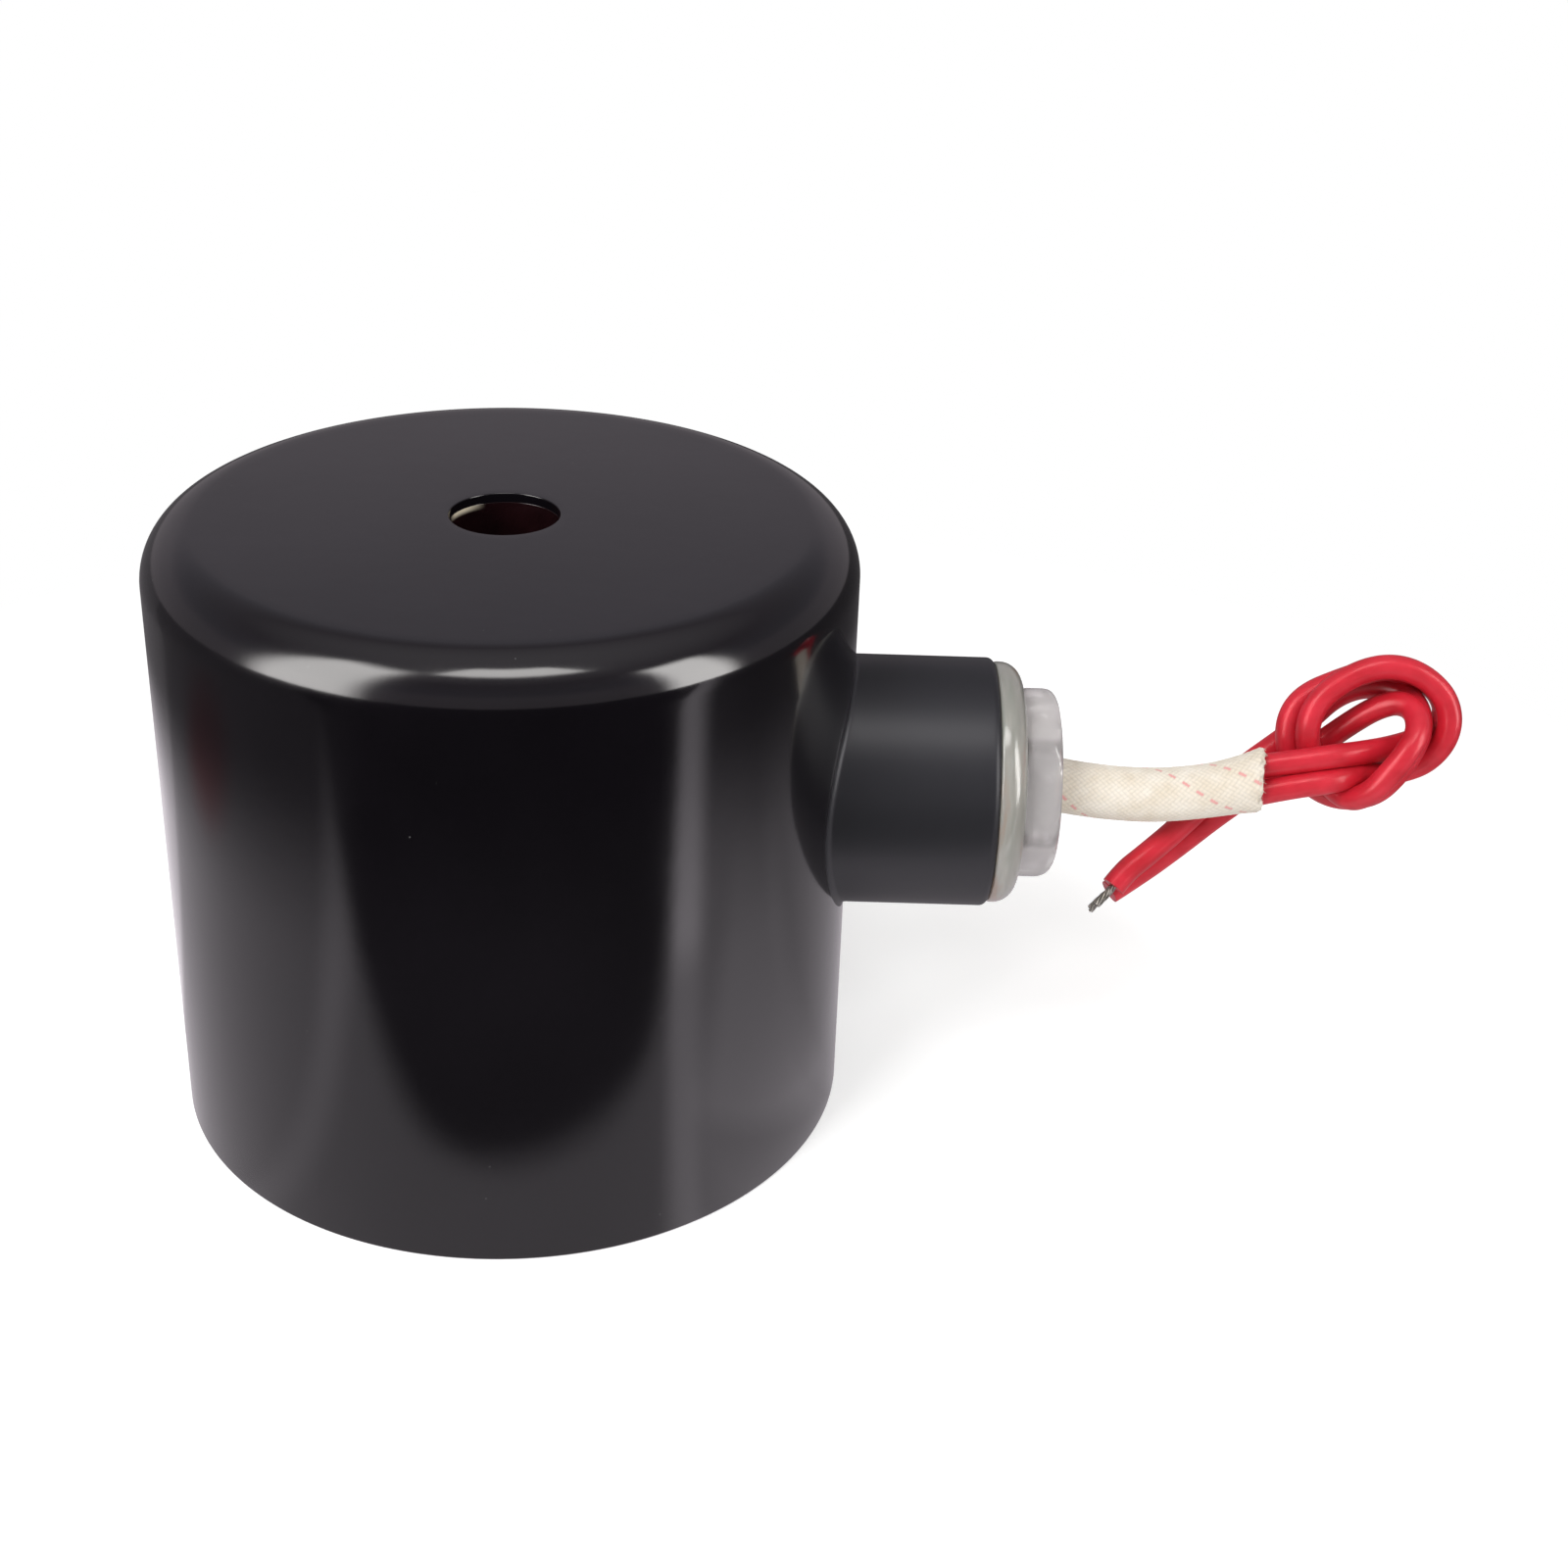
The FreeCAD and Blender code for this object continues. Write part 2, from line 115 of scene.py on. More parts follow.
KNOT_A = [
    (0.0, 1.8, 0.0),
    (4.7, 2.5, 0.5),
    (9.1, 3.3, 0.4),
    (13.3, 3.9, -1.0),
    (17.6, 4.7, -3.0),
    (21.5, 5.9, -4.2),
    (24.3, 7.5, -4.6),
    (25.4, 9.9, -4.6),
    (24.3, 12.4, -4.3),
    (22.0, 14.1, -3.9),
    (19.1, 15.1, -3.6),
    (16.0, 15.4, -3.4),
    (12.8, 14.4, -3.5),
    (9.7, 13.2, -3.5),
    (6.8, 11.9, -3.5),
    (4.8, 10.2, -3.4),
    (3.8, 8.0, -3.6),
    (3.8, 5.4, -4.1),
    (4.7, 2.5, -4.9),
    (6.9, 0.0, -5.8),
    (10.1, -1.9, -6.2),
    (13.1, -2.3, -5.0),
    (15.5, -1.4, -1.7),
    (17.5, 1.2, 0.7),
    (19.4, 4.1, 0.5),
    (21.1, 7.1, -1.2),
    (21.1, 10.3, -2.8),
    (19.5, 12.3, -4.5),
    (16.8, 13.1, -5.9),
    (13.6, 12.9, -6.9),
    (10.6, 11.4, -7.6),
    (8.0, 8.8, -8.0),
    (5.4, 6.4, -8.2),
    (2.6, 4.3, -8.2),
    (-0.6, 1.9, -8.0),
    (-4.5, -1.3, -7.6),
    (-9.6, -6.6, -6.6),
    (-14.9, -11.1, -5.6),
    (-17.3, -13.0, -5.2),
    (-18.9, -15.1, -5.0),
]

KNOT_B = [
    (0.2, -1.7, 0.0),
    (4.8, -0.7, 0.6),
    (8.8, -0.1, 0.4),
    (12.7, 0.9, -1.6),
    (16.4, 1.2, -4.0),
    (19.7, 1.7, -4.5),
    (22.6, 3.0, -3.4),
    (24.4, 5.6, -1.6),
    (25.0, 8.6, -1.0),
    (24.1, 11.6, -0.8),
    (21.7, 13.9, -0.4),
    (18.6, 15.3, 0.0),
    (15.4, 15.5, 0.2),
    (12.3, 14.6, 0.2),
    (8.9, 12.6, 0.0),
    (6.5, 10.0, -0.1),
    (5.7, 7.2, -0.7),
    (6.1, 4.6, -2.0),
    (7.5, 1.9, -3.1),
    (9.8, -0.8, -3.2),
    (11.9, -2.5, -1.4),
    (13.9, -1.5, 1.5),
    (15.8, 1.0, 3.0),
    (18.0, 4.0, 3.6),
    (19.7, 6.8, 2.8),
    (20.0, 9.6, 0.2),
    (18.2, 10.9, -1.6),
    (15.6, 10.1, -3.4),
    (12.9, 8.2, -5.0),
    (10.2, 6.0, -6.6),
    (7.1, 3.5, -7.8),
    (3.9, 1.1, -8.6),
    (0.4, -1.6, -9.2),
    (-4.2, -5.0, -9.6),
    (-9.6, -9.4, -9.4),
    (-14.5, -13.1, -8.9),
    (-18.9, -16.0, -8.3),
]


# Settings that a user would change


class CanSettings(bpy.types.PropertyGroup):
    rim_radius: FloatProperty(
        name="Rim radius", description="Rounding of the can's top edge",
        default=6.5 * MM, unit="LENGTH")
    wall: FloatProperty(
        name="Wall", description="Sheet thickness of the can", default=1.2 * MM, unit="LENGTH")
    hole_radius: FloatProperty(
        name="Hole radius", description="Radius of the hole through the coil",
        default=7.0 * MM, unit="LENGTH")
    joint_fillet: FloatProperty(
        name="Joint fillet", description="Paint that fills the corner round the outlet",
        default=0.7 * MM, unit="LENGTH")
    enamel: FloatVectorProperty(
        name="Enamel", description="Colour of the baked enamel", subtype="COLOR",
        default=(0.0044, 0.0036, 0.0050), min=0, max=1)
    haze: FloatProperty(
        name="Haze", description="Softness of the reflections in the enamel",
        default=0.13, subtype="FACTOR")


class GlandSettings(bpy.types.PropertyGroup):
    plastic: FloatVectorProperty(
        name="Body", description="Colour of the gland body", subtype="COLOR",
        default=(0.46, 0.45, 0.41), min=0, max=1)
    clear: FloatVectorProperty(
        name="Nut", description="Tint of the clear nut", subtype="COLOR",
        default=(0.96, 0.92, 0.92), min=0, max=1)
    thread_pitch: FloatProperty(
        name="Thread pitch", description="Pitch of the gland's thread", default=1.5 * MM,
        unit="LENGTH")
    thread_depth: FloatProperty(
        name="Thread depth", description="Depth of the gland's thread", default=0.25 * MM,
        unit="LENGTH")
    nut_flats: FloatProperty(
        name="Nut width", description="Width of the nut across its flats",
        default=22.6 * MM, unit="LENGTH")
    nut_turn: FloatProperty(
        name="Nut turn", description="Angle of the nut's first corner from upright",
        default=math.radians(-20), subtype="ANGLE", unit="ROTATION")


class LeadSettings(bpy.types.PropertyGroup):
    diameter: FloatProperty(
        name="Lead diameter", description="Outside diameter of each red lead",
        default=3.3 * MM, unit="LENGTH")
    length_a: FloatProperty(
        name="Length of lead a", description="Length from its splice to its stripped end",
        default=200.5 * MM, unit="LENGTH")
    length_b: FloatProperty(
        name="Length of lead b", description="Length from its splice to its stripped end",
        default=190.9 * MM, unit="LENGTH")
    red: FloatVectorProperty(
        name="Insulation", description="Colour of the insulation", subtype="COLOR",
        default=(0.60, 0.016, 0.030), min=0, max=1)
    strand_radius: FloatProperty(
        name="Strand radius", description="Radius of one strand of the conductor",
        default=0.18 * MM, unit="LENGTH")
    sleeve_radius: FloatProperty(
        name="Sleeve radius", description="Outside radius of the woven sleeve",
        default=3.85 * MM, unit="LENGTH")
    sleeve_wall: FloatProperty(
        name="Sleeve wall", description="Thickness of the woven sleeve", default=0.30 * MM,
        unit="LENGTH")
    braid_pitch: FloatProperty(
        name="Braid pitch", description="Length in which a yarn goes once round",
        default=28 * MM, unit="LENGTH")
    braid_yarns: IntProperty(
        name="Yarns", description="Yarns that run each way round the sleeve", default=32)


class StageSettings(bpy.types.PropertyGroup):
    camera_place: FloatVectorProperty(
        name="Camera place", description="Where the camera stands", subtype="TRANSLATION",
        default=(31.33 * MM, -277.15 * MM, 193.87 * MM), unit="LENGTH")
    camera_heading: FloatProperty(
        name="Heading", description="Turn of the view to the right of +Y",
        default=math.radians(1.04), subtype="ANGLE", unit="ROTATION")
    camera_pitch: FloatProperty(
        name="Pitch", description="How far the view looks down",
        default=math.radians(28.29), subtype="ANGLE", unit="ROTATION")
    camera_roll: FloatProperty(
        name="Roll", description="Tilt of the camera to its left",
        default=math.radians(2.21), subtype="ANGLE", unit="ROTATION")
    lens: FloatProperty(
        name="Lens", description="Focal length in millimetres", default=54.25, min=1)


def can():
    return bpy.context.scene.coil_can


def gland():
    return bpy.context.scene.coil_gland


def leads():
    return bpy.context.scene.coil_leads


def stage():
    return bpy.context.scene.coil_stage


def linked(name, data):
    """A new object with this data, linked to the scene."""
    made = bpy.data.objects.new(name, data)
    bpy.context.scene.collection.objects.link(made)
    return made


# Materials


class NodeTree:
    """A node tree under construction, with short ways to add nodes and links."""

    def __init__(self, tree):
        self.nodes = tree.nodes
        self.links = tree.links

    def node(self, kind, values=None, **settings):
        made = self.nodes.new(kind)
        for name, value in settings.items():
            setattr(made, name, value)
        for name, value in (values or {}).items():
            made.inputs[name].default_value = value
        return made

    def link(self, source, target):
        self.links.new(source, target)

    def place(self):
        return self.node("ShaderNodeTexCoord").outputs["Object"]

    def noise(self, scale, detail=4.0, roughness=0.5, where=None):
        made = self.node("ShaderNodeTexNoise", {"Scale": scale, "Detail": detail, "Roughness": roughness})
        self.link(where or self.place(), made.inputs["Vector"])
        return made.outputs["Fac"]

    def ramp(self, factor, stops):
        made = self.node("ShaderNodeValToRGB")
        elements = made.color_ramp.elements
        while len(elements) < len(stops):
            elements.new(0.5)
        for element, (position, colour) in zip(elements, stops):
            element.position = position
            element.color = (*colour, 1)
        self.link(factor, made.inputs["Fac"])
        return made.outputs["Color"]

    def span(self, factor, low, high, from_low=0.0, from_high=1.0, curve="LINEAR"):
        made = self.node("ShaderNodeMapRange", {
            "From Min": from_low, "From Max": from_high,
            "To Min": low, "To Max": high}, interpolation_type=curve)
        self.link(factor, made.inputs["Value"])
        return made.outputs["Result"]

    def smooth(self, factor, low, high, from_low, from_high):
        return self.span(factor, low, high, from_low, from_high, "SMOOTHSTEP")

    def maths(self, operation, first, second=0.0):
        made = self.node("ShaderNodeMath", operation=operation)
        for socket, value in zip(made.inputs, (first, second)):
            if isinstance(value, (int, float)):
                socket.default_value = value
            else:
                self.link(value, socket)
        return made.outputs["Value"]

    def mix(self, factor, first, second):
        made = self.node("ShaderNodeMix", data_type="RGBA")
        colours = [s for s in made.inputs if s.type == "RGBA"]
        factor_socket = [s for s in made.inputs if s.type == "VALUE"][0]
        self.link(factor, factor_socket)
        for socket, value in zip(colours, (first, second)):
            if isinstance(value, tuple):
                socket.default_value = (*value, 1)
            else:
                self.link(value, socket)
        return [s for s in made.outputs if s.type == "RGBA"][0]

    def axes(self, where=None):
        """X, Y and Z of a place, or else of the place on the object."""
        made = self.node("ShaderNodeSeparateXYZ")
        self.link(where or self.place(), made.inputs["Vector"])
        return [made.outputs[axis] for axis in "XYZ"]

    def times(self, first, second):
        return self.maths("MULTIPLY", first, second)

    def plus(self, first, second):
        return self.maths("ADD", first, second)

    def minus(self, first, second):
        return self.maths("SUBTRACT", first, second)

    def both_shaders(self, first, second):
        made = self.node("ShaderNodeAddShader")
        self.link(first, made.inputs[0])
        self.link(second, made.inputs[1])
        return made.outputs["Shader"]

    def pick_shader(self, factor, first, second):
        """The first shader where the factor is 0, the second where it is 1."""
        made = self.node("ShaderNodeMixShader")
        self.link(factor, made.inputs["Fac"])
        self.link(first, made.inputs[1])
        self.link(second, made.inputs[2])
        return made.outputs["Shader"]

    def ray_kinds(self):
        """Whether a ray is seen directly or through clear plastic, and whether it is glossy."""
        rays = self.node("ShaderNodeLightPath").outputs
        seen = self.maths("MAXIMUM", rays["Is Camera Ray"], rays["Is Transmission Ray"])
        return seen, rays["Is Glossy Ray"]


class Finish(NodeTree):
    """A material under construction."""

    def __init__(self, name):
        self.material = bpy.data.materials.new(name)
        self.material.use_nodes = True
        super().__init__(self.material.node_tree)
        self.shader = self.nodes["Principled BSDF"]

    def set(self, **values):
        for name, value in values.items():
            self.shader.inputs[name.replace("_", " ")].default_value = value

    def surface(self, colour, roughness):
        self.link(colour, self.shader.inputs["Base Color"])
        self.link(roughness, self.shader.inputs["Roughness"])

    def bump(self, height, strength, distance):
        made = self.node("ShaderNodeBump", {"Strength": strength, "Distance": distance})
        self.link(height, made.inputs["Height"])
        self.link(made.outputs["Normal"], self.shader.inputs["Normal"])


def shaded(colour, share):
    return tuple(channel * share for channel in colour)


def black_enamel():
    """Baked gloss enamel: near black, faint orange peel, thin haze and a few dust specks."""
    finish = Finish("black_enamel")
    base = tuple(can().enamel)
    haze = can().haze
    clouds = finish.noise(38, 5)
    colour = finish.ramp(clouds, [(0.35, shaded(base, 0.85)), (0.7, shaded(base, 1.25))])
    specks = finish.noise(1900, 2)
    marks = finish.maths("GREATER_THAN", specks, 0.80)
    colour = finish.mix(marks, colour, (0.10, 0.10, 0.10))
    smears = finish.noise(24, 6, 0.6)
    finish.surface(colour, finish.span(smears, haze * 0.75, haze * 1.5, 0.3, 0.75))
    finish.set(IOR=1.5, Coat_Weight=0.25, Coat_Roughness=0.04, Coat_IOR=1.5)
    peel = finish.noise(420, 2)
    waves = finish.noise(46, 2)
    height = finish.plus(finish.times(peel, 0.25), waves)
    finish.bump(height, 0.25, 0.00012)
    return finish.material


def former_varnish():
    """Dark red-brown varnished tube that lines the hole, with a highlight painted on the left of its far
    wall just under its top.
    """
    finish = Finish("former_varnish")
    grain = finish.noise(160, 4)
    colour = finish.ramp(grain, [(0.3, (0.004, 0.0016, 0.002)), (0.7, (0.014, 0.004, 0.005))])
    # Painted highlight: a pale gold patch on the left of the far wall, just under the top of the lining.
    x, y, z = finish.axes()
    painted_highlight = finish.smooth(x, 1.0, 0.0, -0.0060, -0.0030)
    depth = finish.minus(FORMER_HIGH.z, z)
    painted_highlight = finish.times(painted_highlight, finish.smooth(depth, 1.0, 0.0, 0.0002, 0.0009))
    painted_highlight = finish.times(painted_highlight, finish.smooth(y, 0.0, 1.0, 0.0008, 0.0028))
    colour = finish.mix(painted_highlight, colour, (0.95, 0.84, 0.64))
    finish.surface(colour, finish.span(grain, 0.12, 0.30))
    finish.set(IOR=1.52)
    finish.bump(finish.noise(500, 2), 0.15, 0.00008)
    return finish.material


def plated_steel():
    """Zinc plating with fine turning marks."""
    finish = Finish("plated_steel")
    grain = finish.noise(300, 4)
    colour = finish.ramp(grain, [(0.3, (0.42, 0.42, 0.43)), (0.7, (0.60, 0.60, 0.61))])
    finish.surface(colour, finish.span(grain, 0.28, 0.45))
    finish.set(Metallic=1.0)
    finish.bump(finish.noise(1500, 2), 0.2, 0.00005)
    return finish.material


def plain_plastic(name, light, dark, roughness, scale=220, bump=0.2):
    """Moulded or sheet plastic with a mild mottle."""
    finish = Finish(name)
    mottle = finish.noise(scale, 4)
    colour = finish.ramp(mottle, [(0.3, dark), (0.7, light)])
    finish.surface(colour, finish.span(mottle, roughness * 0.8, roughness * 1.2))
    finish.bump(finish.noise(scale * 4, 2), bump, 0.0001)
    return finish.material


def wound_copper():
    """Enamelled copper with fine turns round the winding, with painted shade in the grooves between
    turns.
    """
    finish = Finish("wound_copper")
    turns = finish.node(
        "ShaderNodeTexWave", {"Scale": 280.0, "Distortion": 0.6, "Detail": 2.0}, bands_direction="Z")
    finish.link(finish.place(), turns.inputs["Vector"])
    # Painted shade: the colour follows the bump's wave, darkest where the surface lies low between turns.
    colour = finish.ramp(turns.outputs["Fac"], [(0.1, (0.20, 0.06, 0.025)), (0.7, (0.62, 0.25, 0.11))])
    finish.surface(colour, finish.span(turns.outputs["Fac"], 0.45, 0.25))
    finish.set(Metallic=0.9)
    finish.bump(turns.outputs["Fac"], 0.4, 0.0002)
    return finish.material


def pale_moulding():
    """Milky moulded plastic of the gland body, with faint flow marks; the orange-brown streaks among them
    are painted reflections.
    """
    finish = Finish("pale_moulding")
    body = tuple(gland().plastic)
    streaks = finish.node("ShaderNodeMapping")
    finish.link(finish.place(), streaks.inputs["Vector"])
    streaks.inputs["Scale"].default_value = (7.0, 1.0, 1.0)
    flow = finish.noise(75, 3, 0.5, streaks.outputs["Vector"])
    green = (body[0] * 0.84, body[1] * 0.88, body[2] * 0.86)
    # The orange-brown stop paints reflections of the red-brown inside into the streaks.
    warm_reflection = (body[0] * 1.12, body[1] * 0.88, body[2] * 0.80)
    colour = finish.ramp(flow, [(0.30, green), (0.46, body), (0.56, shaded(body, 1.1)), (0.68, warm_reflection)])
    finish.surface(colour, finish.span(flow, 0.10, 0.20))
    finish.set(IOR=1.53, Transmission_Weight=0.35, Subsurface_Weight=0.25)
    finish.set(Coat_Weight=0.4, Coat_Roughness=0.28)
    finish.shader.inputs["Subsurface Radius"].default_value = (0.004, 0.0035, 0.003)
    finish.shader.inputs["Subsurface Scale"].default_value = 1.0
    finish.bump(finish.noise(420, 2), 0.2, 0.00012)
    return finish.material


def clear_moulding():
    """Clear plastic of the nut, slightly wavy inside and out, with painted shade: alternate facets
    painted darker and dark lines painted along the corners.
    """
    finish = Finish("clear_moulding")
    tint = tuple(gland().clear)
    flow = finish.noise(150, 3)
    _, y, z = finish.axes()
    level = finish.minus(z, OUTLET_HEIGHT)
    turn = finish.maths("ARCTAN2", finish.times(y, -1.0), level)
    past = finish.minus(turn, gland().nut_turn)
    # Painted shade: alternate facets are painted darker than the others, and dark lines are painted along
    # the corners.
    swing = finish.maths("SINE", finish.times(past, 3.0))
    lit_facet_mask = finish.smooth(swing, 0.0, 1.0, -0.5, 0.5)
    corner = finish.smooth(finish.maths("ABSOLUTE", swing), 0.75, 0.0, 0.05, 0.40)
    clear = finish.ramp(flow, [(0.35, shaded(tint, 0.92)), (0.7, tint)])
    painted_dark_facets = finish.ramp(flow, [(0.35, shaded(tint, 0.70)), (0.7, shaded(tint, 0.86))])
    colour = finish.mix(corner, finish.mix(lit_facet_mask, painted_dark_facets, clear), shaded(tint, 0.52))
    finish.surface(colour, finish.span(flow, 0.05, 0.14))
    finish.set(IOR=1.49, Transmission_Weight=0.55)
    finish.bump(finish.noise(260, 2), 0.15, 0.0002)
    return finish.material


def red_silicone():
    """Smooth silicone insulation, a little darker and duller in patches."""
    finish = Finish("red_silicone")
    red = tuple(leads().red)
    patches = finish.noise(210, 4)
    bright = (red[0] * 1.08, red[1] * 1.5, red[2] * 1.5)
    colour = finish.ramp(patches, [(0.3, shaded(red, 0.80)), (0.7, bright)])
    finish.surface(colour, finish.span(patches, 0.26, 0.42))
    finish.set(IOR=1.45, Specular_IOR_Level=0.50, Subsurface_Weight=0.12)
    finish.shader.inputs["Subsurface Radius"].default_value = (0.0012, 0.0003, 0.0003)
    finish.shader.inputs["Subsurface Scale"].default_value = 1.0
    finish.bump(finish.noise(900, 3), 0.15, 0.00012)
    return finish.material


def tinned_strands():
    """Tinned copper strands, greyed by handling."""
    finish = Finish("tinned_strands")
    stain = finish.noise(900, 3)
    colour = finish.ramp(stain, [(0.3, (0.16, 0.15, 0.13)), (0.7, (0.42, 0.40, 0.37))])
    finish.surface(colour, finish.span(stain, 0.30, 0.55))
    finish.set(Metallic=0.85)
    finish.bump(finish.noise(2600, 2), 0.3, 0.00005)
    return finish.material


def woven_glass():
    """Cream glass braid with red tracer yarns, coloured by the braid's own layout, with painted shade in
    the valleys between yarns and on the inside of the tube.
    """
    finish = Finish("woven_glass")
    tone = finish.noise(420, 4)
    cream = finish.ramp(tone, [(0.25, (0.74, 0.65, 0.52)), (0.75, (0.88, 0.82, 0.73))])
    braid = finish.node("ShaderNodeAttribute", attribute_name="braid")
    parts = finish.node("ShaderNodeSeparateColor")
    finish.link(braid.outputs["Color"], parts.inputs["Color"])
    # Painted shade: the cream is darkened where the braid lies low, in the valleys between yarns and on
    # the inside of the tube.
    painted_valley_shade = finish.span(parts.outputs["Green"], 0.76, 1.0)
    shade_multiply = finish.node("ShaderNodeMix", data_type="RGBA", blend_type="MULTIPLY")
    colours = [s for s in shade_multiply.inputs if s.type == "RGBA"]
    [s for s in shade_multiply.inputs if s.type == "VALUE"][0].default_value = 1.0
    finish.link(cream, colours[0])
    finish.link(painted_valley_shade, colours[1])
    shaded_cream = [s for s in shade_multiply.outputs if s.type == "RGBA"][0]
    colour = finish.mix(parts.outputs["Red"], shaded_cream, (0.74, 0.36, 0.34))
    finish.surface(colour, finish.span(tone, 0.55, 0.75))
    finish.set(Sheen_Weight=0.25, Sheen_Roughness=0.5, Specular_IOR_Level=0.4)
    fibres = finish.noise(2600, 3)
    finish.bump(fibres, 0.35, 0.0001)
    return finish.material


# Outlines and turned pieces


def rounded(corners, steps=8):
    """Closed outline through the corners, each (a, b, rounding), with arcs at rounded ones."""
    points = []
    count = len(corners)
    for index, (a, b, radius) in enumerate(corners):
        corner = Vector((a, b))
        if radius <= 0:
            points.append(corner)
            continue
        before = Vector(corners[index - 1][:2]) - corner
        after = Vector(corners[(index + 1) % count][:2]) - corner
        half = before.angle(after) / 2
        reach = radius / math.tan(half)
        first = before.normalized() * reach
        last = after.normalized() * reach
        centre = (before.normalized() + after.normalized()).normalized() * (radius / math.sin(half))
        start = first - centre
        end = last - centre
        sweep = start.angle_signed(end)
        for step in range(steps + 1):
            spoke = start.copy()
            spoke.rotate(Matrix.Rotation(-sweep * step / steps, 2))
            points.append(corner + centre + spoke)
    return points


def quarter(steps, first=0):
    """Angles from 0 to 90 degrees in equal steps, from the first one on."""
    return [math.radians(90 * part / steps) for part in range(first, steps + 1)]


def filled(points, gap):
    """The outline with points added wherever two of them are more than a gap apart."""
    result = []
    for index, point in enumerate(points):
        result.append(point)
        ahead = points[(index + 1) % len(points)]
        pieces = int((ahead - point).length / gap)
        for step in range(1, pieces):
            result.append(point.lerp(ahead, step / pieces))
    return result


def ring_mesh(name, rings):
    """Closed mesh through rings of points; the last ring joins the first."""
    mesh = bpy.data.meshes.new(name)
    build = bmesh.new()
    made = [[build.verts.new(point) for point in ring] for ring in rings]
    for index, ring in enumerate(made):
        ahead = made[(index + 1) % len(made)]
        for side in range(len(ring)):
            other = (side + 1) % len(ring)
            build.faces.new((ring[side], ring[other], ahead[other], ahead[side]))
    bmesh.ops.recalc_face_normals(build, faces=build.faces)
    build.to_mesh(mesh)
    build.free()
    return mesh


def about_hole(radius, height, turn):
    return Vector((radius * math.cos(turn), radius * math.sin(turn), height))


def about_outlet(distance, radius, turn):
    return Vector((distance, -radius * math.sin(turn), OUTLET_HEIGHT + radius * math.cos(turn)))


def turned(name, outline, place, steps):
    """Mesh of an outline turned once round its axis."""
    rings = []
    for step in range(steps):
        turn = 2 * math.pi * step / steps
        rings.append([place(point.x, point.y, turn) for point in outline])
    return ring_mesh(name, rings)


def finished_piece(name, mesh, material, body, nodes, crease=35):
    """Links a mesh as a piece that stands for CAD nodes and rides on their body."""
    piece = linked(name, mesh)
    mesh.materials.clear()
    mesh.materials.append(material)
    mesh.shade_smooth()
    mesh.set_sharp_from_angle(angle=math.radians(crease))
    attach(piece, body)
    if nodes:
        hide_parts(*nodes)
    return piece


def paint_node(name, material):
    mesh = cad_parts[name].data
    mesh.materials.clear()
    mesh.materials.append(material)
    mesh.shade_smooth()
    mesh.set_sharp_from_angle(angle=math.radians(35))


# Can


def can_mesh():
    settings = can()
    inner = CAN_RADIUS - settings.wall
    lid = CAN_HEIGHT - settings.wall
    outline = rounded([
        (inner, 0, 0),
        (CAN_RADIUS, 0, 0.25 * MM),
        (CAN_RADIUS, CAN_HEIGHT, settings.rim_radius),
        (settings.hole_radius, CAN_HEIGHT, 0.12 * MM),
        (settings.hole_radius, lid, 0),
        (inner, lid, settings.rim_radius - settings.wall),
    ], 20)
    return turned("can_shell", filled(outline, 1.3 * MM), about_hole, 320)


def port_cutter():
    """Cylinder for the port in the wall, a little narrower than the outlet's bore."""
    build = bmesh.new()
    low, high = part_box("outlet_tube")
    radius = (high.z - low.z) / 2 - 1.8 * MM
    bmesh.ops.create_cone(
        build, cap_ends=True, segments=96, radius1=radius, radius2=radius, depth=CAN_RADIUS)
    across = Matrix.Rotation(math.radians(90), 4, "Y")
    away = Matrix.Translation((CAN_RADIUS, 0, OUTLET_HEIGHT))
    bmesh.ops.transform(build, matrix=away @ across, verts=build.verts)
    mesh = bpy.data.meshes.new("port_cutter")
    build.to_mesh(mesh)
    build.free()
    return linked("port_cutter", mesh)


def with_port(mesh):
    """The can's mesh with its port cut through the wall."""
    blank = linked("can_blank", mesh)
    cutter = port_cutter()
    cut = blank.modifiers.new("port", "BOOLEAN")
    cut.operation = "DIFFERENCE"
    cut.object = cutter
    cut.solver = "EXACT"
    bpy.context.view_layer.update()
    seen = blank.evaluated_get(bpy.context.evaluated_depsgraph_get())
    result = bpy.data.meshes.new_from_object(seen)
    result.name = "can_shell"
    bpy.data.objects.remove(blank)
    bpy.data.objects.remove(cutter)
    return result


class COIL_OT_draw_can(bpy.types.Operator):
    """Draw the enamelled can with its rounded rim, lid hole and port"""
    bl_idname = "coil.draw_can"
    bl_label = "Draw can"

    def execute(self, context):
        mesh = with_port(can_mesh())
        finished_piece("can_shell", mesh, black_enamel(), "coil", ["casing"])
        return {"FINISHED"}


class COIL_OT_line_hole(bpy.types.Operator):
    """Line the hole with the varnished former tube"""
    bl_idname = "coil.line_hole"
    bl_label = "Line hole"

    def execute(self, context):
        inner = can().hole_radius
        outer = (FORMER_HIGH.x - FORMER_LOW.x) / 2
        outline = rounded([
            (inner, FORMER_LOW.z, 0),
            (outer, FORMER_LOW.z, 0),
            (outer, FORMER_HIGH.z, 0),
            (inner, FORMER_HIGH.z, 0.1 * MM),
        ])
        mesh = turned("former_lining", outline, about_hole, 160)
        finished_piece("former_lining", mesh, former_varnish(), "coil", ["former_tube"])
        return {"FINISHED"}


class COIL_OT_close_base(bpy.types.Operator):
    """Close the underside with its plated steel plate"""
    bl_idname = "coil.close_base"
    bl_label = "Close base"

    def execute(self, context):
        inner = can().hole_radius
        outer = (BASE_HIGH.x - BASE_LOW.x) / 2
        outline = rounded([
            (inner, 0, 0.3 * MM),
            (outer, 0, 0.4 * MM),
            (outer, BASE_HIGH.z, 0),
            (inner, BASE_HIGH.z, 0),
        ])
        mesh = turned("base_disc", outline, about_hole, 256)
        finished_piece("base_disc", mesh, plated_steel(), "coil", ["base_plate"])
        return {"FINISHED"}


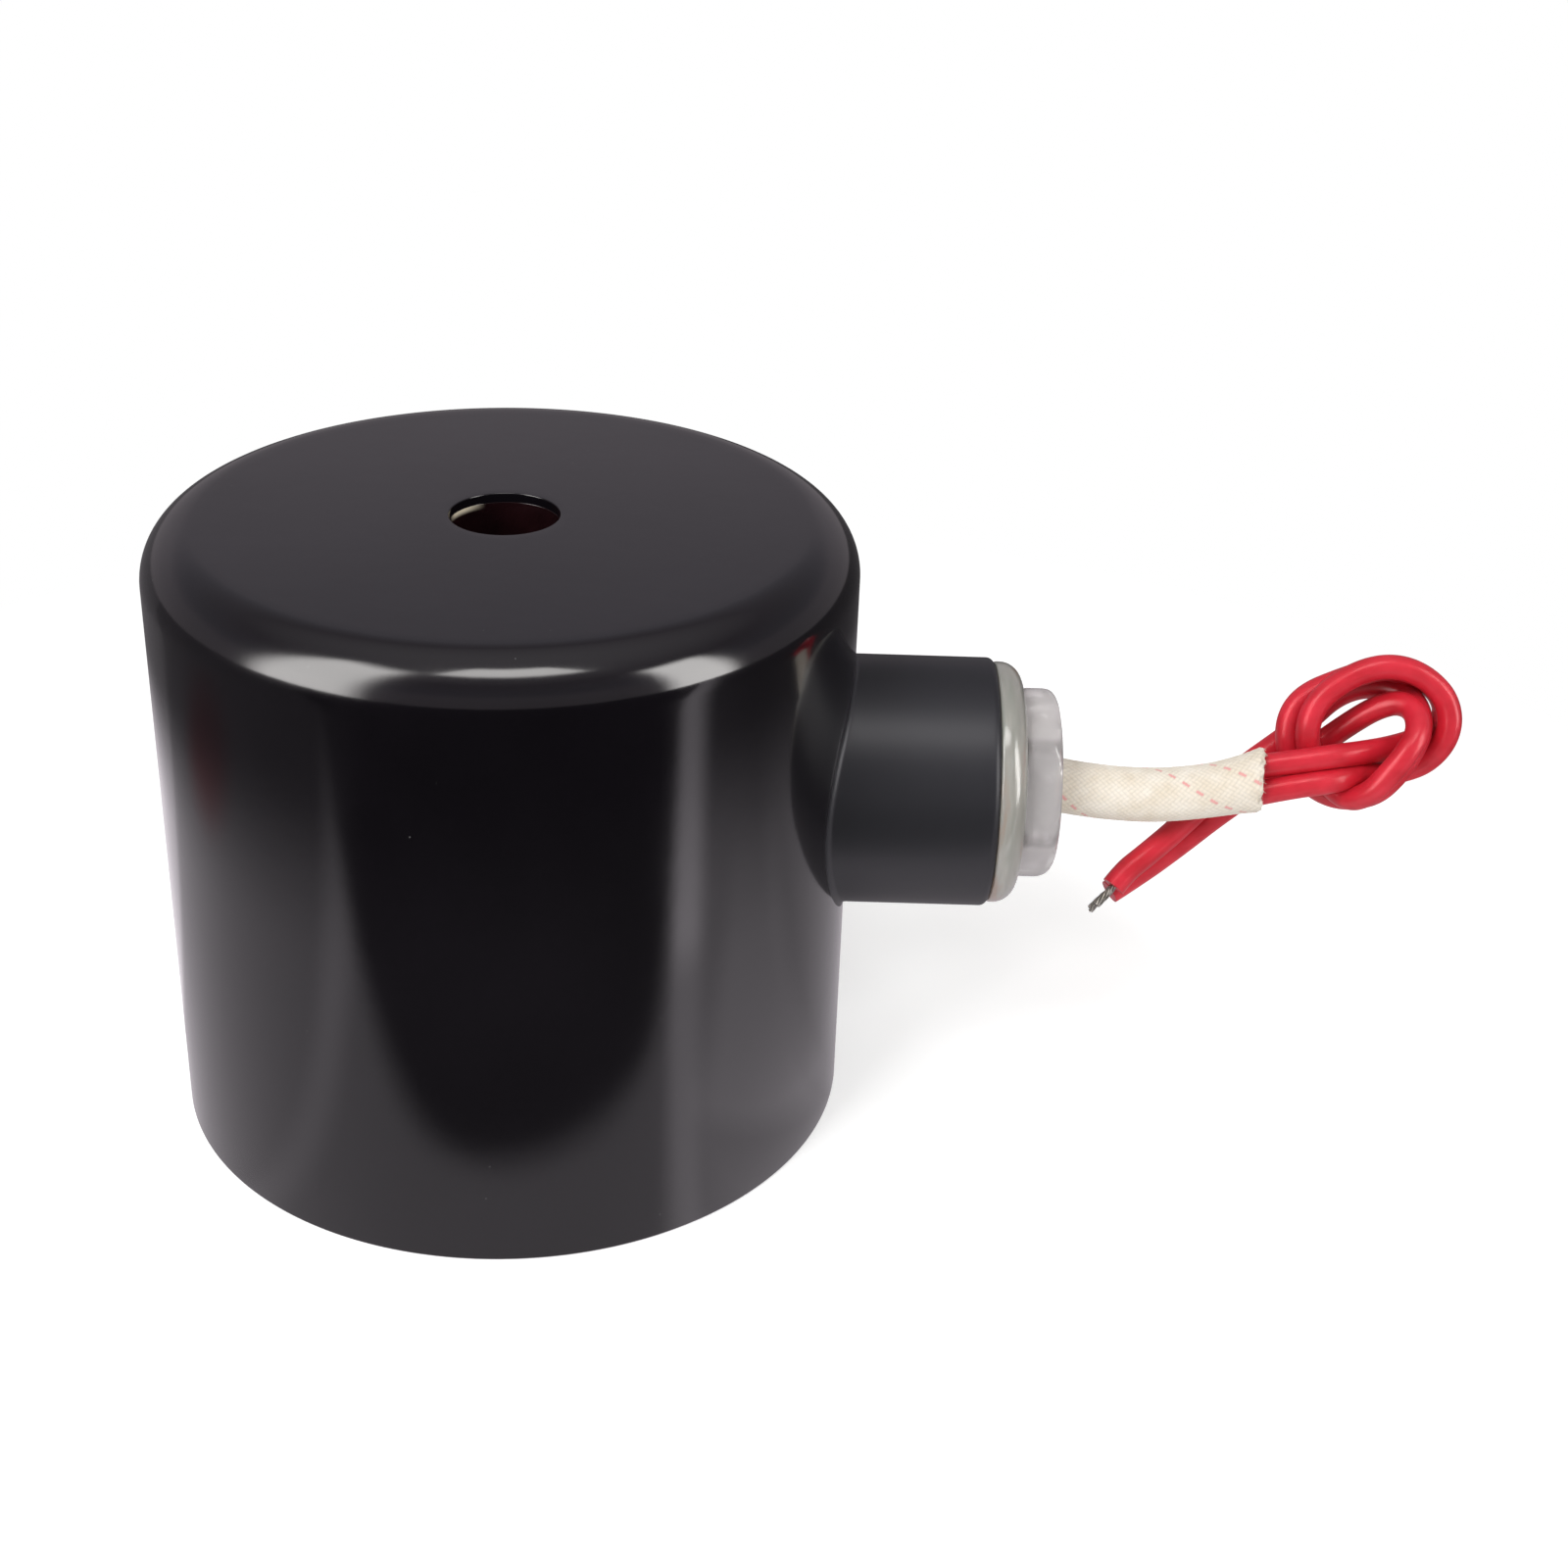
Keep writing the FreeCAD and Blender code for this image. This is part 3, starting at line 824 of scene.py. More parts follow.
class COIL_OT_finish_winding(bpy.types.Operator):
    """Give the pieces inside the can their materials"""
    bl_idname = "coil.finish_winding"
    bl_label = "Finish winding"

    def execute(self, context):
        copper = wound_copper()
        strands = tinned_strands()
        board = plain_plastic("pressed_board", (0.76, 0.64, 0.42), (0.62, 0.50, 0.30), 0.8)
        tape = plain_plastic("amber_tape", (0.82, 0.66, 0.22), (0.70, 0.52, 0.14), 0.3)
        moulded = plain_plastic("tan_moulding", (0.60, 0.54, 0.43), (0.48, 0.42, 0.32), 0.5)
        resin = plain_plastic("dark_resin", (0.08, 0.07, 0.07), (0.04, 0.035, 0.035), 0.45)
        cover = plain_plastic("splice_cover", (0.74, 0.70, 0.62), (0.60, 0.55, 0.47), 0.7)
        steel = plated_steel()
        finishes = {
            "upper_yoke_ring": steel, "winding": copper, "tail_a": copper, "tail_b": copper,
            "upper_washer": board, "lower_washer": board, "upper_cheek": moulded,
            "lower_cheek": moulded, "inner_wrap": tape, "outer_tape": tape, "potting": resin,
            "splice_barrel_a": strands, "splice_barrel_b": strands,
            "splice_cover_a": cover, "splice_cover_b": cover,
        }
        for name, material in finishes.items():
            paint_node(name, material)
        return {"FINISHED"}


# Outlet


def saddle(radius, turn):
    """Distance along the outlet at which a line of the tube meets the can."""
    return math.sqrt(CAN_RADIUS ** 2 - (radius * math.sin(turn)) ** 2)


def outlet_mesh():
    fillet = can().joint_fillet
    bore = OUTLET_RADIUS - 1.5 * MM
    lip = 1.0 * MM
    inner_lip = 0.2 * MM
    rings = []
    for step in range(240):
        turn = 2 * math.pi * step / 240
        stations = []
        for bend in quarter(8):
            radius = OUTLET_RADIUS + fillet * (1 - math.sin(bend))
            stations.append((saddle(radius, turn) + fillet * (1 - math.cos(bend)), radius))
        start = saddle(OUTLET_RADIUS, turn) + fillet
        for part in range(1, 13):
            stations.append((start + (OUTLET_END - lip - start) * part / 12, OUTLET_RADIUS))
        for bend in quarter(8, 1):
            stations.append((
                OUTLET_END - lip + lip * math.sin(bend),
                OUTLET_RADIUS - lip + lip * math.cos(bend)))
        for bend in quarter(4):
            stations.append((
                OUTLET_END - inner_lip + inner_lip * math.cos(bend),
                bore + inner_lip - inner_lip * math.sin(bend)))
        stations.append((saddle(bore, turn), bore))
        rings.append([about_outlet(distance, radius, turn) for distance, radius in stations])
    return ring_mesh("outlet_stub", rings)


class COIL_OT_join_outlet(bpy.types.Operator):
    """Join the outlet tube to the can's wall, with paint in the corner"""
    bl_idname = "coil.join_outlet"
    bl_label = "Join outlet"

    def execute(self, context):
        enamel = bpy.data.materials["black_enamel"]
        finished_piece("outlet_stub", outlet_mesh(), enamel, "coil", ["outlet_tube"])
        return {"FINISHED"}


# Gland


def threaded(name, outline, steps, neck, inward):
    """Turned mesh whose points on the neck follow a helical thread."""
    pitch = gland().thread_pitch
    depth = gland().thread_depth
    start, end, radius = neck
    rings = []
    for step in range(steps):
        turn = 2 * math.pi * step / steps
        ring = []
        for point in outline:
            distance, reach = point
            if start < distance < end and abs(reach - radius) < 0.02 * MM:
                phase = (distance / pitch - step / steps) % 1
                wave = abs(2 * phase - 1)
                fade = min(1, (distance - start) / (0.4 * MM), (end - distance) / (0.4 * MM))
                reach += inward * depth * wave * fade
            ring.append(about_outlet(distance, reach, turn))
        rings.append(ring)
    return ring_mesh(name, rings)


class COIL_OT_fit_gland(bpy.types.Operator):
    """Fit the gland body, its grommet and the loose clamp ring"""
    bl_idname = "coil.fit_gland"
    bl_label = "Fit gland"

    def execute(self, context):
        front = OUTLET_END + 3.6 * MM
        neck = 9.0 * MM
        pocket = 7.0 * MM
        cable = 4.05 * MM
        floor = GROMMET_LOW.x
        plug = OUTLET_RADIUS - 1.55 * MM
        corners = [
            (GLAND_LOW.x, plug - 2 * MM, 0.2 * MM),
            (floor - 2 * MM, plug - 2 * MM, 0.5 * MM),
            (floor - 2 * MM, cable, 0.2 * MM),
            (floor, cable, 0.2 * MM),
            (floor, pocket, 0),
            (NECK_END, pocket, 0.2 * MM),
            (NECK_END, neck - 0.5 * MM, 0),
            (NECK_END - 0.5 * MM, neck, 0),
            (front, neck, 0.2 * MM),
            (front, FLANGE_RADIUS, 2.8 * MM),
            (OUTLET_END, FLANGE_RADIUS, 0.4 * MM),
            (OUTLET_END, plug, 0),
            (GLAND_LOW.x, plug, 0.4 * MM),
        ]
        outline = filled(rounded(corners, 10), 0.12 * MM)
        mesh = threaded("gland_shell", outline, 192, (front + 0.2 * MM, NECK_END - 0.5 * MM, neck), -1)
        finished_piece("gland_shell", mesh, pale_moulding(), "coil", ["gland_body"])

        rubber = plain_plastic("pale_rubber", (0.50, 0.49, 0.46), (0.40, 0.39, 0.37), 0.6)
        outline = rounded([
            (floor, cable, 0.2 * MM),
            (GROMMET_HIGH.x, cable, 0.3 * MM),
            (GROMMET_HIGH.x, 6.9 * MM, 0.6 * MM),
            (floor, 6.9 * MM, 0.2 * MM),
        ])
        mesh = turned("grommet", outline, about_outlet, 96)
        finished_piece("grommet", mesh, rubber, "coil", ["gland_grommet"])

        washer = plain_plastic("clamp_plastic", (0.70, 0.70, 0.68), (0.60, 0.60, 0.58), 0.35)
        outline = rounded([
            (RING_LOW.x, 4.7 * MM, 0.15 * MM),
            (RING_HIGH.x, 4.7 * MM, 0.15 * MM),
            (RING_HIGH.x, 6.9 * MM, 0.15 * MM),
            (RING_LOW.x, 6.9 * MM, 0.15 * MM),
        ])
        mesh = turned("clamp_washer", outline, about_outlet, 96)
        finished_piece("clamp_washer", mesh, washer, "ring", ["clamp_ring"])
        return {"FINISHED"}


def nut_mesh():
    """Hexagonal nut with a domed outer edge and a threaded bore."""
    flats = gland().nut_flats
    pitch = gland().thread_pitch
    corner = flats / math.sqrt(3)
    outer = corner - 0.15 * MM
    bore = 9.25 * MM
    hole = 4.9 * MM
    end_wall = NUT_HIGH.x - 1.05 * MM
    dome_depth = 2.2 * MM
    dome_drop = 2.3 * MM
    hole_edge = 0.3 * MM
    thread_height = 0.22 * MM
    corner_power = 60
    dome_power = 50
    outside = 26
    threads = 44
    rings = []
    steps = 288
    front = NUT_HIGH.x - 0.4 * MM
    for step in range(steps):
        turn = 2 * math.pi * step / steps
        from_flat = (turn - gland().nut_turn) % math.radians(60) - math.radians(30)
        flat = flats / 2 / math.cos(from_flat)
        limit = (flat ** -corner_power + outer ** -corner_power) ** (-1 / corner_power)
        stations = []
        for part in range(outside + 1):
            share = part / outside
            distance = NUT_LOW.x + (front - NUT_LOW.x) * share
            dome = outer
            into = distance - (front - dome_depth)
            if into > 0:
                dome = outer - dome_drop * (1 - math.sqrt(max(0, 1 - (into / dome_depth) ** 2 * 0.92)))
            back = NUT_LOW.x + 0.5 * MM - distance
            if back > 0:
                dome = outer - back
            radius = (limit ** -dome_power + dome ** -dome_power) ** (-1 / dome_power)
            stations.append((distance, radius))
        edge = stations[-1][1]
        for part in range(1, 6):
            stations.append((front, edge + (hole + hole_edge - edge) * part / 5))
        for bend in quarter(5, 1):
            stations.append((
                front - hole_edge + hole_edge * math.cos(bend),
                hole + hole_edge - hole_edge * math.sin(bend)))
        stations.append((end_wall, hole))
        stations.append((end_wall, bore))
        for part in range(1, threads + 1):
            distance = end_wall + (NUT_LOW.x + 0.3 * MM - end_wall) * part / threads
            wave = abs(2 * ((distance / pitch - step / steps) % 1) - 1)
            fade = min(1, part / 6, (threads - part) / 6)
            stations.append((distance, bore + thread_height * (1 - wave) * fade))
        stations.append((NUT_LOW.x, bore + 0.3 * MM))
        rings.append([about_outlet(distance, radius, turn) for distance, radius in stations])
    return ring_mesh("nut_shell", rings)


class COIL_OT_fit_nut(bpy.types.Operator):
    """Fit the clear hexagonal gland nut"""
    bl_idname = "coil.fit_nut"
    bl_label = "Fit nut"

    def execute(self, context):
        finished_piece("nut_shell", nut_mesh(), clear_moulding(), "nut", ["gland_nut"], 12)
        return {"FINISHED"}


# Leads and sleeve


def lead_points(side, knot):
    points = []
    for distance, height, half in PAIRED_ROUTE:
        on_centre = ROUTE_START + Vector((distance, 0, height)) * MM
        points.append(on_centre + PAIR_UP * (side * half * MM))
    for along, up, out in knot:
        points.append(KNOT_START + Vector((along * MM, 0, 0)) + (PAIR_UP * up + PAIR_OUT * out) * MM)
    return points


def rod_data(name, radius, roundness):
    """Empty curve with a round section and closed ends."""
    curve = bpy.data.curves.new(name, "CURVE")
    curve.dimensions = "3D"
    curve.bevel_depth = radius
    curve.bevel_resolution = roundness
    curve.use_fill_caps = True
    return curve


def smooth_curve(name, points, radius):
    """Round rod along a smooth line with these points as its control points."""
    curve = rod_data(name, radius, 8)
    spline = curve.splines.new("NURBS")
    spline.points.add(len(points) - 1)
    for target, point in zip(spline.points, points):
        target.co = (*point, 1)
    spline.order_u = 3
    spline.use_endpoint_u = True
    spline.resolution_u = 10
    return linked(name, curve)


def line_of(points):
    """Points along the smooth line that has these control points."""
    guide = smooth_curve("guide", points, 0)
    bpy.context.view_layer.update()
    seen = guide.evaluated_get(bpy.context.evaluated_depsgraph_get())
    mesh = bpy.data.meshes.new_from_object(seen)
    line = [vertex.co.copy() for vertex in mesh.vertices]
    bpy.data.objects.remove(guide)
    bpy.data.meshes.remove(mesh)
    return line


def strand_bundle(name, start, heading, droop):
    """Seven twisted strands that leave the insulation and bend down a little."""
    radius = leads().strand_radius
    reach = 3.5 * MM
    inside = 1.0 * MM
    across = heading.cross(Vector((0, 0, 1))).normalized()
    above = across.cross(heading).normalized()
    curve = rod_data(name, radius, 3)
    draw = random.Random(11)
    for strand in range(7):
        ring = 0 if strand == 0 else 2.02 * radius
        phase = math.radians(60 * strand)
        extra = draw.uniform(-0.25, 0.15) * MM
        spline = curve.splines.new("POLY")
        steps = 14
        spline.points.add(steps)
        for step in range(steps + 1):
            along = -inside + (reach + extra + inside) * step / steps
            turn = phase + along / (7 * MM) * 2 * math.pi
            centre = start + heading * along - above * (droop * max(0, along / reach) ** 1.6)
            point = centre + across * (ring * math.cos(turn)) + above * (ring * math.sin(turn))
            spline.points[step].co = (*point, 1)
    return linked(name, curve)


class COIL_OT_run_leads(bpy.types.Operator):
    """Run the two red leads through the sleeve and their knot"""
    bl_idname = "coil.run_leads"
    bl_label = "Run leads"

    def execute(self, context):
        silicone = red_silicone()
        bare = bpy.data.materials["tinned_strands"]
        settings = leads()
        jobs = (
            ("a", 1, KNOT_A, settings.length_a, -0.5 * MM),
            ("b", -1, KNOT_B, settings.length_b, 0.8 * MM),
        )
        for letter, side, knot, length, droop in jobs:
            points = lead_points(side, knot)
            lead = smooth_curve("red_lead_" + letter, points, settings.diameter / 2)
            lead.data.materials.append(silicone)
            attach(lead, "coil")
            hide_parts("lead_" + letter)
            heading = (points[-1] - points[-2]).normalized()
            strands = strand_bundle("bare_strands_" + letter, points[-1], heading, droop)
            strands.data.materials.append(bare)
            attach(strands, "coil")
            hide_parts("lead_tip_" + letter)
        return {"FINISHED"}


def braid_height(around, along):
    """Height of the braid, 0 to 1, and how much of a red tracer lies on top there."""
    yarns = leads().braid_yarns
    first = around * yarns + along * yarns
    second = around * yarns - along * yarns
    across_first = abs(2 * (first % 1) - 1)
    across_second = abs(2 * (second % 1) - 1)
    over = (math.floor(first) + math.floor(second)) % 4 < 2
    across = across_first if over else across_second
    lengthwise = across_second if over else across_first
    crown = math.sqrt(max(0, 1 - across ** 2))
    rise = math.cos(lengthwise * math.pi / 2)
    red = 0.0
    if not over and math.floor(second) % yarns in TRACER_YARNS and across < 0.7:
        red = 1.0
    return crown * (0.65 + 0.35 * rise), red


def mouth_offset(turn):
    """Unevenness of the sleeve's cut end: longer on top and a little ragged."""
    slant = 1.2 * math.cos(turn + PAIR_TILT) - 0.8
    ragged = noise.noise(Vector((math.cos(turn) * 5, math.sin(turn) * 5, 0.3)))
    return (slant + 0.3 * ragged) * MM


def sleeve_line():
    """Points along the sleeve and their distances from its start."""
    line = line_of([ROUTE_START + Vector((x, 0, z)) * MM for x, z in SLEEVE_ROUTE])
    lengths = [0.0]
    for before, after in zip(line, line[1:]):
        lengths.append(lengths[-1] + (after - before).length)
    return line, lengths


def spot_on(line, lengths, distance):
    """Place and heading at a distance along a line, straight on beyond its end."""
    index = 0
    while index < len(lengths) - 2 and lengths[index + 1] < distance:
        index += 1
    share = (distance - lengths[index]) / (lengths[index + 1] - lengths[index])
    before = line[max(index - 1, 0)]
    after = line[min(index + 2, len(line) - 1)]
    return line[index].lerp(line[index + 1], share), (after - before).normalized()


def sleeve_mesh():
    """Woven tube along the sleeve's line, flared and uneven at its mouth."""
    settings = leads()
    line, lengths = sleeve_line()
    total = lengths[-1]
    across = Vector((0, 1, 0))
    around_steps = 192
    along_steps = 400
    inner_steps = 40
    crown = 0.12 * MM
    mesh = bpy.data.meshes.new("braided_sleeve")
    build = bmesh.new()
    layer = build.verts.layers.float_color.new("braid")

    def ring(share, outside):
        row = []
        for side in range(around_steps):
            around = side / around_steps
            turn = 2 * math.pi * around
            distance = (total + mouth_offset(turn)) * share
            centre, heading = spot_on(line, lengths, distance)
            above = heading.cross(across)
            height, red = braid_height(around, distance / settings.braid_pitch)
            near_mouth = max(0, 1 - (1 - share) * total / (5.5 * MM))
            lumps = noise.noise(Vector((math.cos(turn) * 3, math.sin(turn) * 3, share * 9)))
            flare = 0.42 * near_mouth ** 2 * (1 + 0.5 * lumps) + 0.05 * lumps
            tuck = 0.30 * max(0, 1 - (1 - share) * total / (0.6 * MM)) ** 2
            waist = 0.22 * min(1, max(0, (distance - 11 * MM) / (5 * MM)), (1 - share) * total / (7 * MM))
            radius = settings.sleeve_radius + (flare - tuck - waist) * MM
            if outside:
                radius += crown * (height - 1)
            else:
                radius -= settings.sleeve_wall
            outward = above * math.cos(turn) - across * math.sin(turn)
            vertex = build.verts.new(centre + outward * radius)
            # The inside of the tube gets a low height, so the braid's colour paints shade on it.
            vertex[layer] = (red, height, 0, 1) if outside else (0, 0.4, 0, 1)
            row.append(vertex)
        return row

    rows = [ring(step / along_steps, True) for step in range(along_steps + 1)]
    rows += [ring(step / inner_steps, False) for step in range(inner_steps, -1, -1)]
    for index, row in enumerate(rows):
        ahead = rows[(index + 1) % len(rows)]
        for side in range(around_steps):
            other = (side + 1) % around_steps
            build.faces.new((row[side], row[other], ahead[other], ahead[side]))
    bmesh.ops.recalc_face_normals(build, faces=build.faces)
    build.to_mesh(mesh)
    build.free()
    return mesh


def frayed_fibres():
    """Short loose fibres round the mouth of the sleeve."""
    settings = leads()
    line, lengths = sleeve_line()
    across = Vector((0, 1, 0))
    curve = rod_data("frayed_fibres", 0.035 * MM, 1)
    draw = random.Random(5)
    for fibre in range(160):
        turn = draw.uniform(0, 2 * math.pi)
        lean = draw.uniform(-0.3, 0.3)
        reach = draw.uniform(0.3, 0.8) * MM
        lift = draw.uniform(-0.25, 0.10) * MM
        spline = curve.splines.new("POLY")
        spline.points.add(5)
        for step in range(6):
            share = step / 5
            at = turn + lean * share
            distance = lengths[-1] + mouth_offset(turn) - 0.5 * MM + reach * share
            centre, heading = spot_on(line, lengths, distance)
            above = heading.cross(across)
            outward = above * math.cos(at) - across * math.sin(at)
            radius = settings.sleeve_radius + 0.28 * MM + (lift - 0.25 * MM) * share ** 2
            spline.points[step].co = (*(centre + outward * radius), 1)
            spline.points[step].radius = 1 - 0.5 * share
    return linked("frayed_fibres", curve)


class COIL_OT_braid_sleeve(bpy.types.Operator):
    bl_idname = "coil.braid_sleeve"
    bl_label = "Braid sleeve"

    def execute(self, context):
        glass = woven_glass()
        sleeve = finished_piece(
            "braided_sleeve", sleeve_mesh(), glass, "coil", ["glass_sleeve"], 80)
        fibres = frayed_fibres()
        fibres.data.materials.append(glass)
        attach(fibres, "coil")
        return {"FINISHED"}


# Stage


# Each window's azimuth, half width, elevation, half height and soft edge in degrees, and level
WINDOWS = (
    (-57, 11, 27, 27, 12, 8.2),
    (67, 7, 18, 22, 8, 9.0),
    (8, 34, 71, 5, 7, 7.5),
)


def window_level(finish, azimuth, width, elevation, height, soft, value):
    """Soft-edged bright window of the room."""
    x, y, z = finish.axes(finish.node("ShaderNodeTexCoord").outputs["Generated"])
    heading = finish.maths("ARCTAN2", x, finish.times(y, -1.0))
    rise = finish.maths("ARCSINE", z)
    level = value
    for angle, middle, half in ((heading, azimuth, width), (rise, elevation, height)):
        off = finish.maths("ABSOLUTE", finish.minus(angle, math.radians(middle)))
        edge = finish.smooth(off, 1.0, 0.0, math.radians(half), math.radians(half + soft))
        level = finish.times(edge, level)
    return level


def white_world():
    """White behind the object; gloss sees a grey room with three windows instead."""
    world = bpy.data.worlds.new("studio")
    bpy.context.scene.world = world
    world.use_nodes = True
    finish = NodeTree(world.node_tree)
    finish.nodes.clear()
    rise = finish.axes(finish.node("ShaderNodeTexCoord").outputs["Generated"])[2]
    behind = finish.ramp(rise, [
        (0.0, (0.32, 0.29, 0.31)), (0.33, (0.34, 0.31, 0.34)), (0.40, (0.27, 0.25, 0.28)),
        (0.46, (0.23, 0.22, 0.25)), (0.70, (0.20, 0.18, 0.20)), (1.0, (0.60, 0.57, 0.60))])
    left, right, high = [window_level(finish, *window) for window in WINDOWS]
    windows = finish.plus(finish.plus(left, right), high)
    fill = finish.node("ShaderNodeBackground", {"Color": (1.0, 0.99, 0.98, 1), "Strength": 0.55})
    room = finish.node("ShaderNodeBackground")
    finish.link(behind, room.inputs["Color"])
    bright = finish.node("ShaderNodeBackground", {"Color": (1.0, 0.98, 0.96, 1)})
    finish.link(windows, bright.inputs["Strength"])
    gloss = finish.both_shaders(room.outputs["Background"], bright.outputs["Background"])
    white = finish.node("ShaderNodeBackground", {"Color": (1, 1, 1, 1)})
    seen, glossy = finish.ray_kinds()
    light = finish.pick_shader(glossy, fill.outputs["Background"], gloss)
    output = finish.node("ShaderNodeOutputWorld")
    finish.link(finish.pick_shader(seen, light, white.outputs["Background"]), output.inputs["Surface"])


def floor_distance(finish, east):
    """Distance over the floor from a point on the X axis."""
    moved = finish.node("ShaderNodeVectorMath", operation="SUBTRACT")
    finish.link(finish.place(), moved.inputs[0])
    moved.inputs[1].default_value = (east, 0, 0)
    out = finish.node("ShaderNodeVectorMath", operation="LENGTH")
    finish.link(moved.outputs["Vector"], out.inputs[0])
    return out.outputs["Value"]


def mirrored_floor(finish):
    """Level of the floor as gloss sees it: paper round the coil, with a dark card before it."""
    east, north, _ = finish.axes()
    ahead = finish.times(north, -1.0)
    left_line = finish.plus(ahead, finish.times(east, 0.53))
    right_line = finish.minus(ahead, finish.times(east, 0.45))
    card = finish.times(
        finish.smooth(ahead, 0.0, 1.0, 0.059, 0.071),
        finish.smooth(left_line, 0.0, 1.0, 0.050, 0.066))
    card = finish.times(card, finish.smooth(right_line, 0.0, 1.0, 0.030, 0.047))
    out = floor_distance(finish, 0.010)
    heading = finish.maths("ARCTAN2", east, ahead)

    right_edge = finish.minus(right_line, finish.times(east, 0.17))
    right_part = finish.smooth(right_edge, 1.0, 0.0, 0.020, 0.028)
    right_level = finish.span(heading, 0.42, -0.22, math.radians(48), math.radians(80))
    behind = finish.maths("ABSOLUTE", heading)
    behind = finish.smooth(behind, 1.0, 0.0, math.radians(135), math.radians(178))
    right_level = finish.times(right_level, behind)
    level = finish.plus(0.66, finish.times(right_part, right_level))
    level = finish.times(level, finish.smooth(out, 1.0, 0.14, 0.108, 0.172))

    off = finish.maths("ABSOLUTE", finish.minus(heading, math.radians(-41)))
    left_streak = finish.smooth(off, 0.34, 0.0, 0.0, math.radians(8))
    left_streak = finish.times(left_streak, finish.span(out, 0.3, 1.0, 0.050, 0.100))
    level = finish.plus(level, left_streak)

    beside = finish.minus(finish.minus(ahead, 0.025), finish.times(east, 0.481))
    spread = finish.times(finish.minus(out, 0.022), 0.28)
    off = finish.maths("DIVIDE", beside, finish.maths("MAXIMUM", spread, 0.001))
    right_streak = finish.smooth(finish.maths("ABSOLUTE", off), 1.0, 0.0, 0.1, 0.75)
    right_streak = finish.times(right_streak, finish.span(east, 0.0, 1.0, 0.005, 0.020))
    right_streak = finish.times(right_streak, finish.span(out, 0.32, 1.15, 0.091, 0.103))
    level = finish.plus(level, right_streak)

    under_outlet = finish.times(
        finish.span(east, 0.0, 0.32, 0.045, 0.052), finish.span(ahead, 0.3, 1.0, 0.0, 0.012))
    under_outlet = finish.times(under_outlet, finish.smooth(ahead, 1.0, 0.0, 0.038, 0.052))
    under_outlet = finish.times(under_outlet, finish.span(out, 1.0, 0.0, 0.090, 0.130))
    level = finish.plus(level, under_outlet)
    return finish.times(level, finish.minus(1.0, finish.times(card, 0.92)))


def pale_floor():
    """White floor that keeps the object's shadow and turns to plain white farther off."""
    finish = Finish("pale_floor")
    finish.nodes.remove(finish.shader)
    output = finish.nodes["Material Output"]
    level = mirrored_floor(finish)
    red_spot = finish.smooth(floor_distance(finish, -0.155), 0.45, 0.0, 0.012, 0.040)
    tint = finish.node("ShaderNodeCombineColor")
    finish.link(level, tint.inputs["Red"])
    plain = finish.times(level, finish.minus(0.93, red_spot))
    finish.link(plain, tint.inputs["Green"])
    finish.link(finish.times(plain, 1.07), tint.inputs["Blue"])
    mirror = finish.node("ShaderNodeEmission", {"Strength": 1.0})
    finish.link(tint.outputs["Color"], mirror.inputs["Color"])
    paper = finish.node("ShaderNodeBsdfDiffuse", {"Color": (0.93, 0.93, 0.93, 1)}).outputs["BSDF"]
    lift = finish.node("ShaderNodeEmission", {"Color": (1, 1, 1, 1), "Strength": 0.42})
    near = finish.both_shaders(paper, lift.outputs["Emission"])
    white = finish.node("ShaderNodeEmission", {"Color": (1, 1, 1, 1), "Strength": 1.0})
    far = finish.span(floor_distance(finish, 0.02), 0.0, 1.0, 0.08, 0.20)
    fade = finish.pick_shader(far, near, white.outputs["Emission"])
    seen, glossy = finish.ray_kinds()
    plain_look = finish.pick_shader(seen, paper, fade)
    look = finish.pick_shader(glossy, plain_look, mirror.outputs["Emission"])
    finish.link(look, output.inputs["Surface"])
    return finish.material


def lamp(name, azimuth, elevation, distance, size, power):
    """Soft box that faces the coil from an azimuth right of the viewer and an elevation."""
    light = bpy.data.lights.new(name, "AREA")
    light.shape = "RECTANGLE"
    light.size = size[0]
    light.size_y = size[1]
    light.energy = power
    piece = linked(name, light)
    target = Vector((0.02, 0, 0.05))
    side = math.radians(azimuth)
    up = math.radians(elevation)
    away = Vector((math.sin(side) * math.cos(up), -math.cos(side) * math.cos(up), math.sin(up)))
    piece.location = target + away * distance
    piece.rotation_mode = "QUATERNION"
    piece.rotation_quaternion = away.to_track_quat("Z", "Y")
    piece.visible_glossy = False


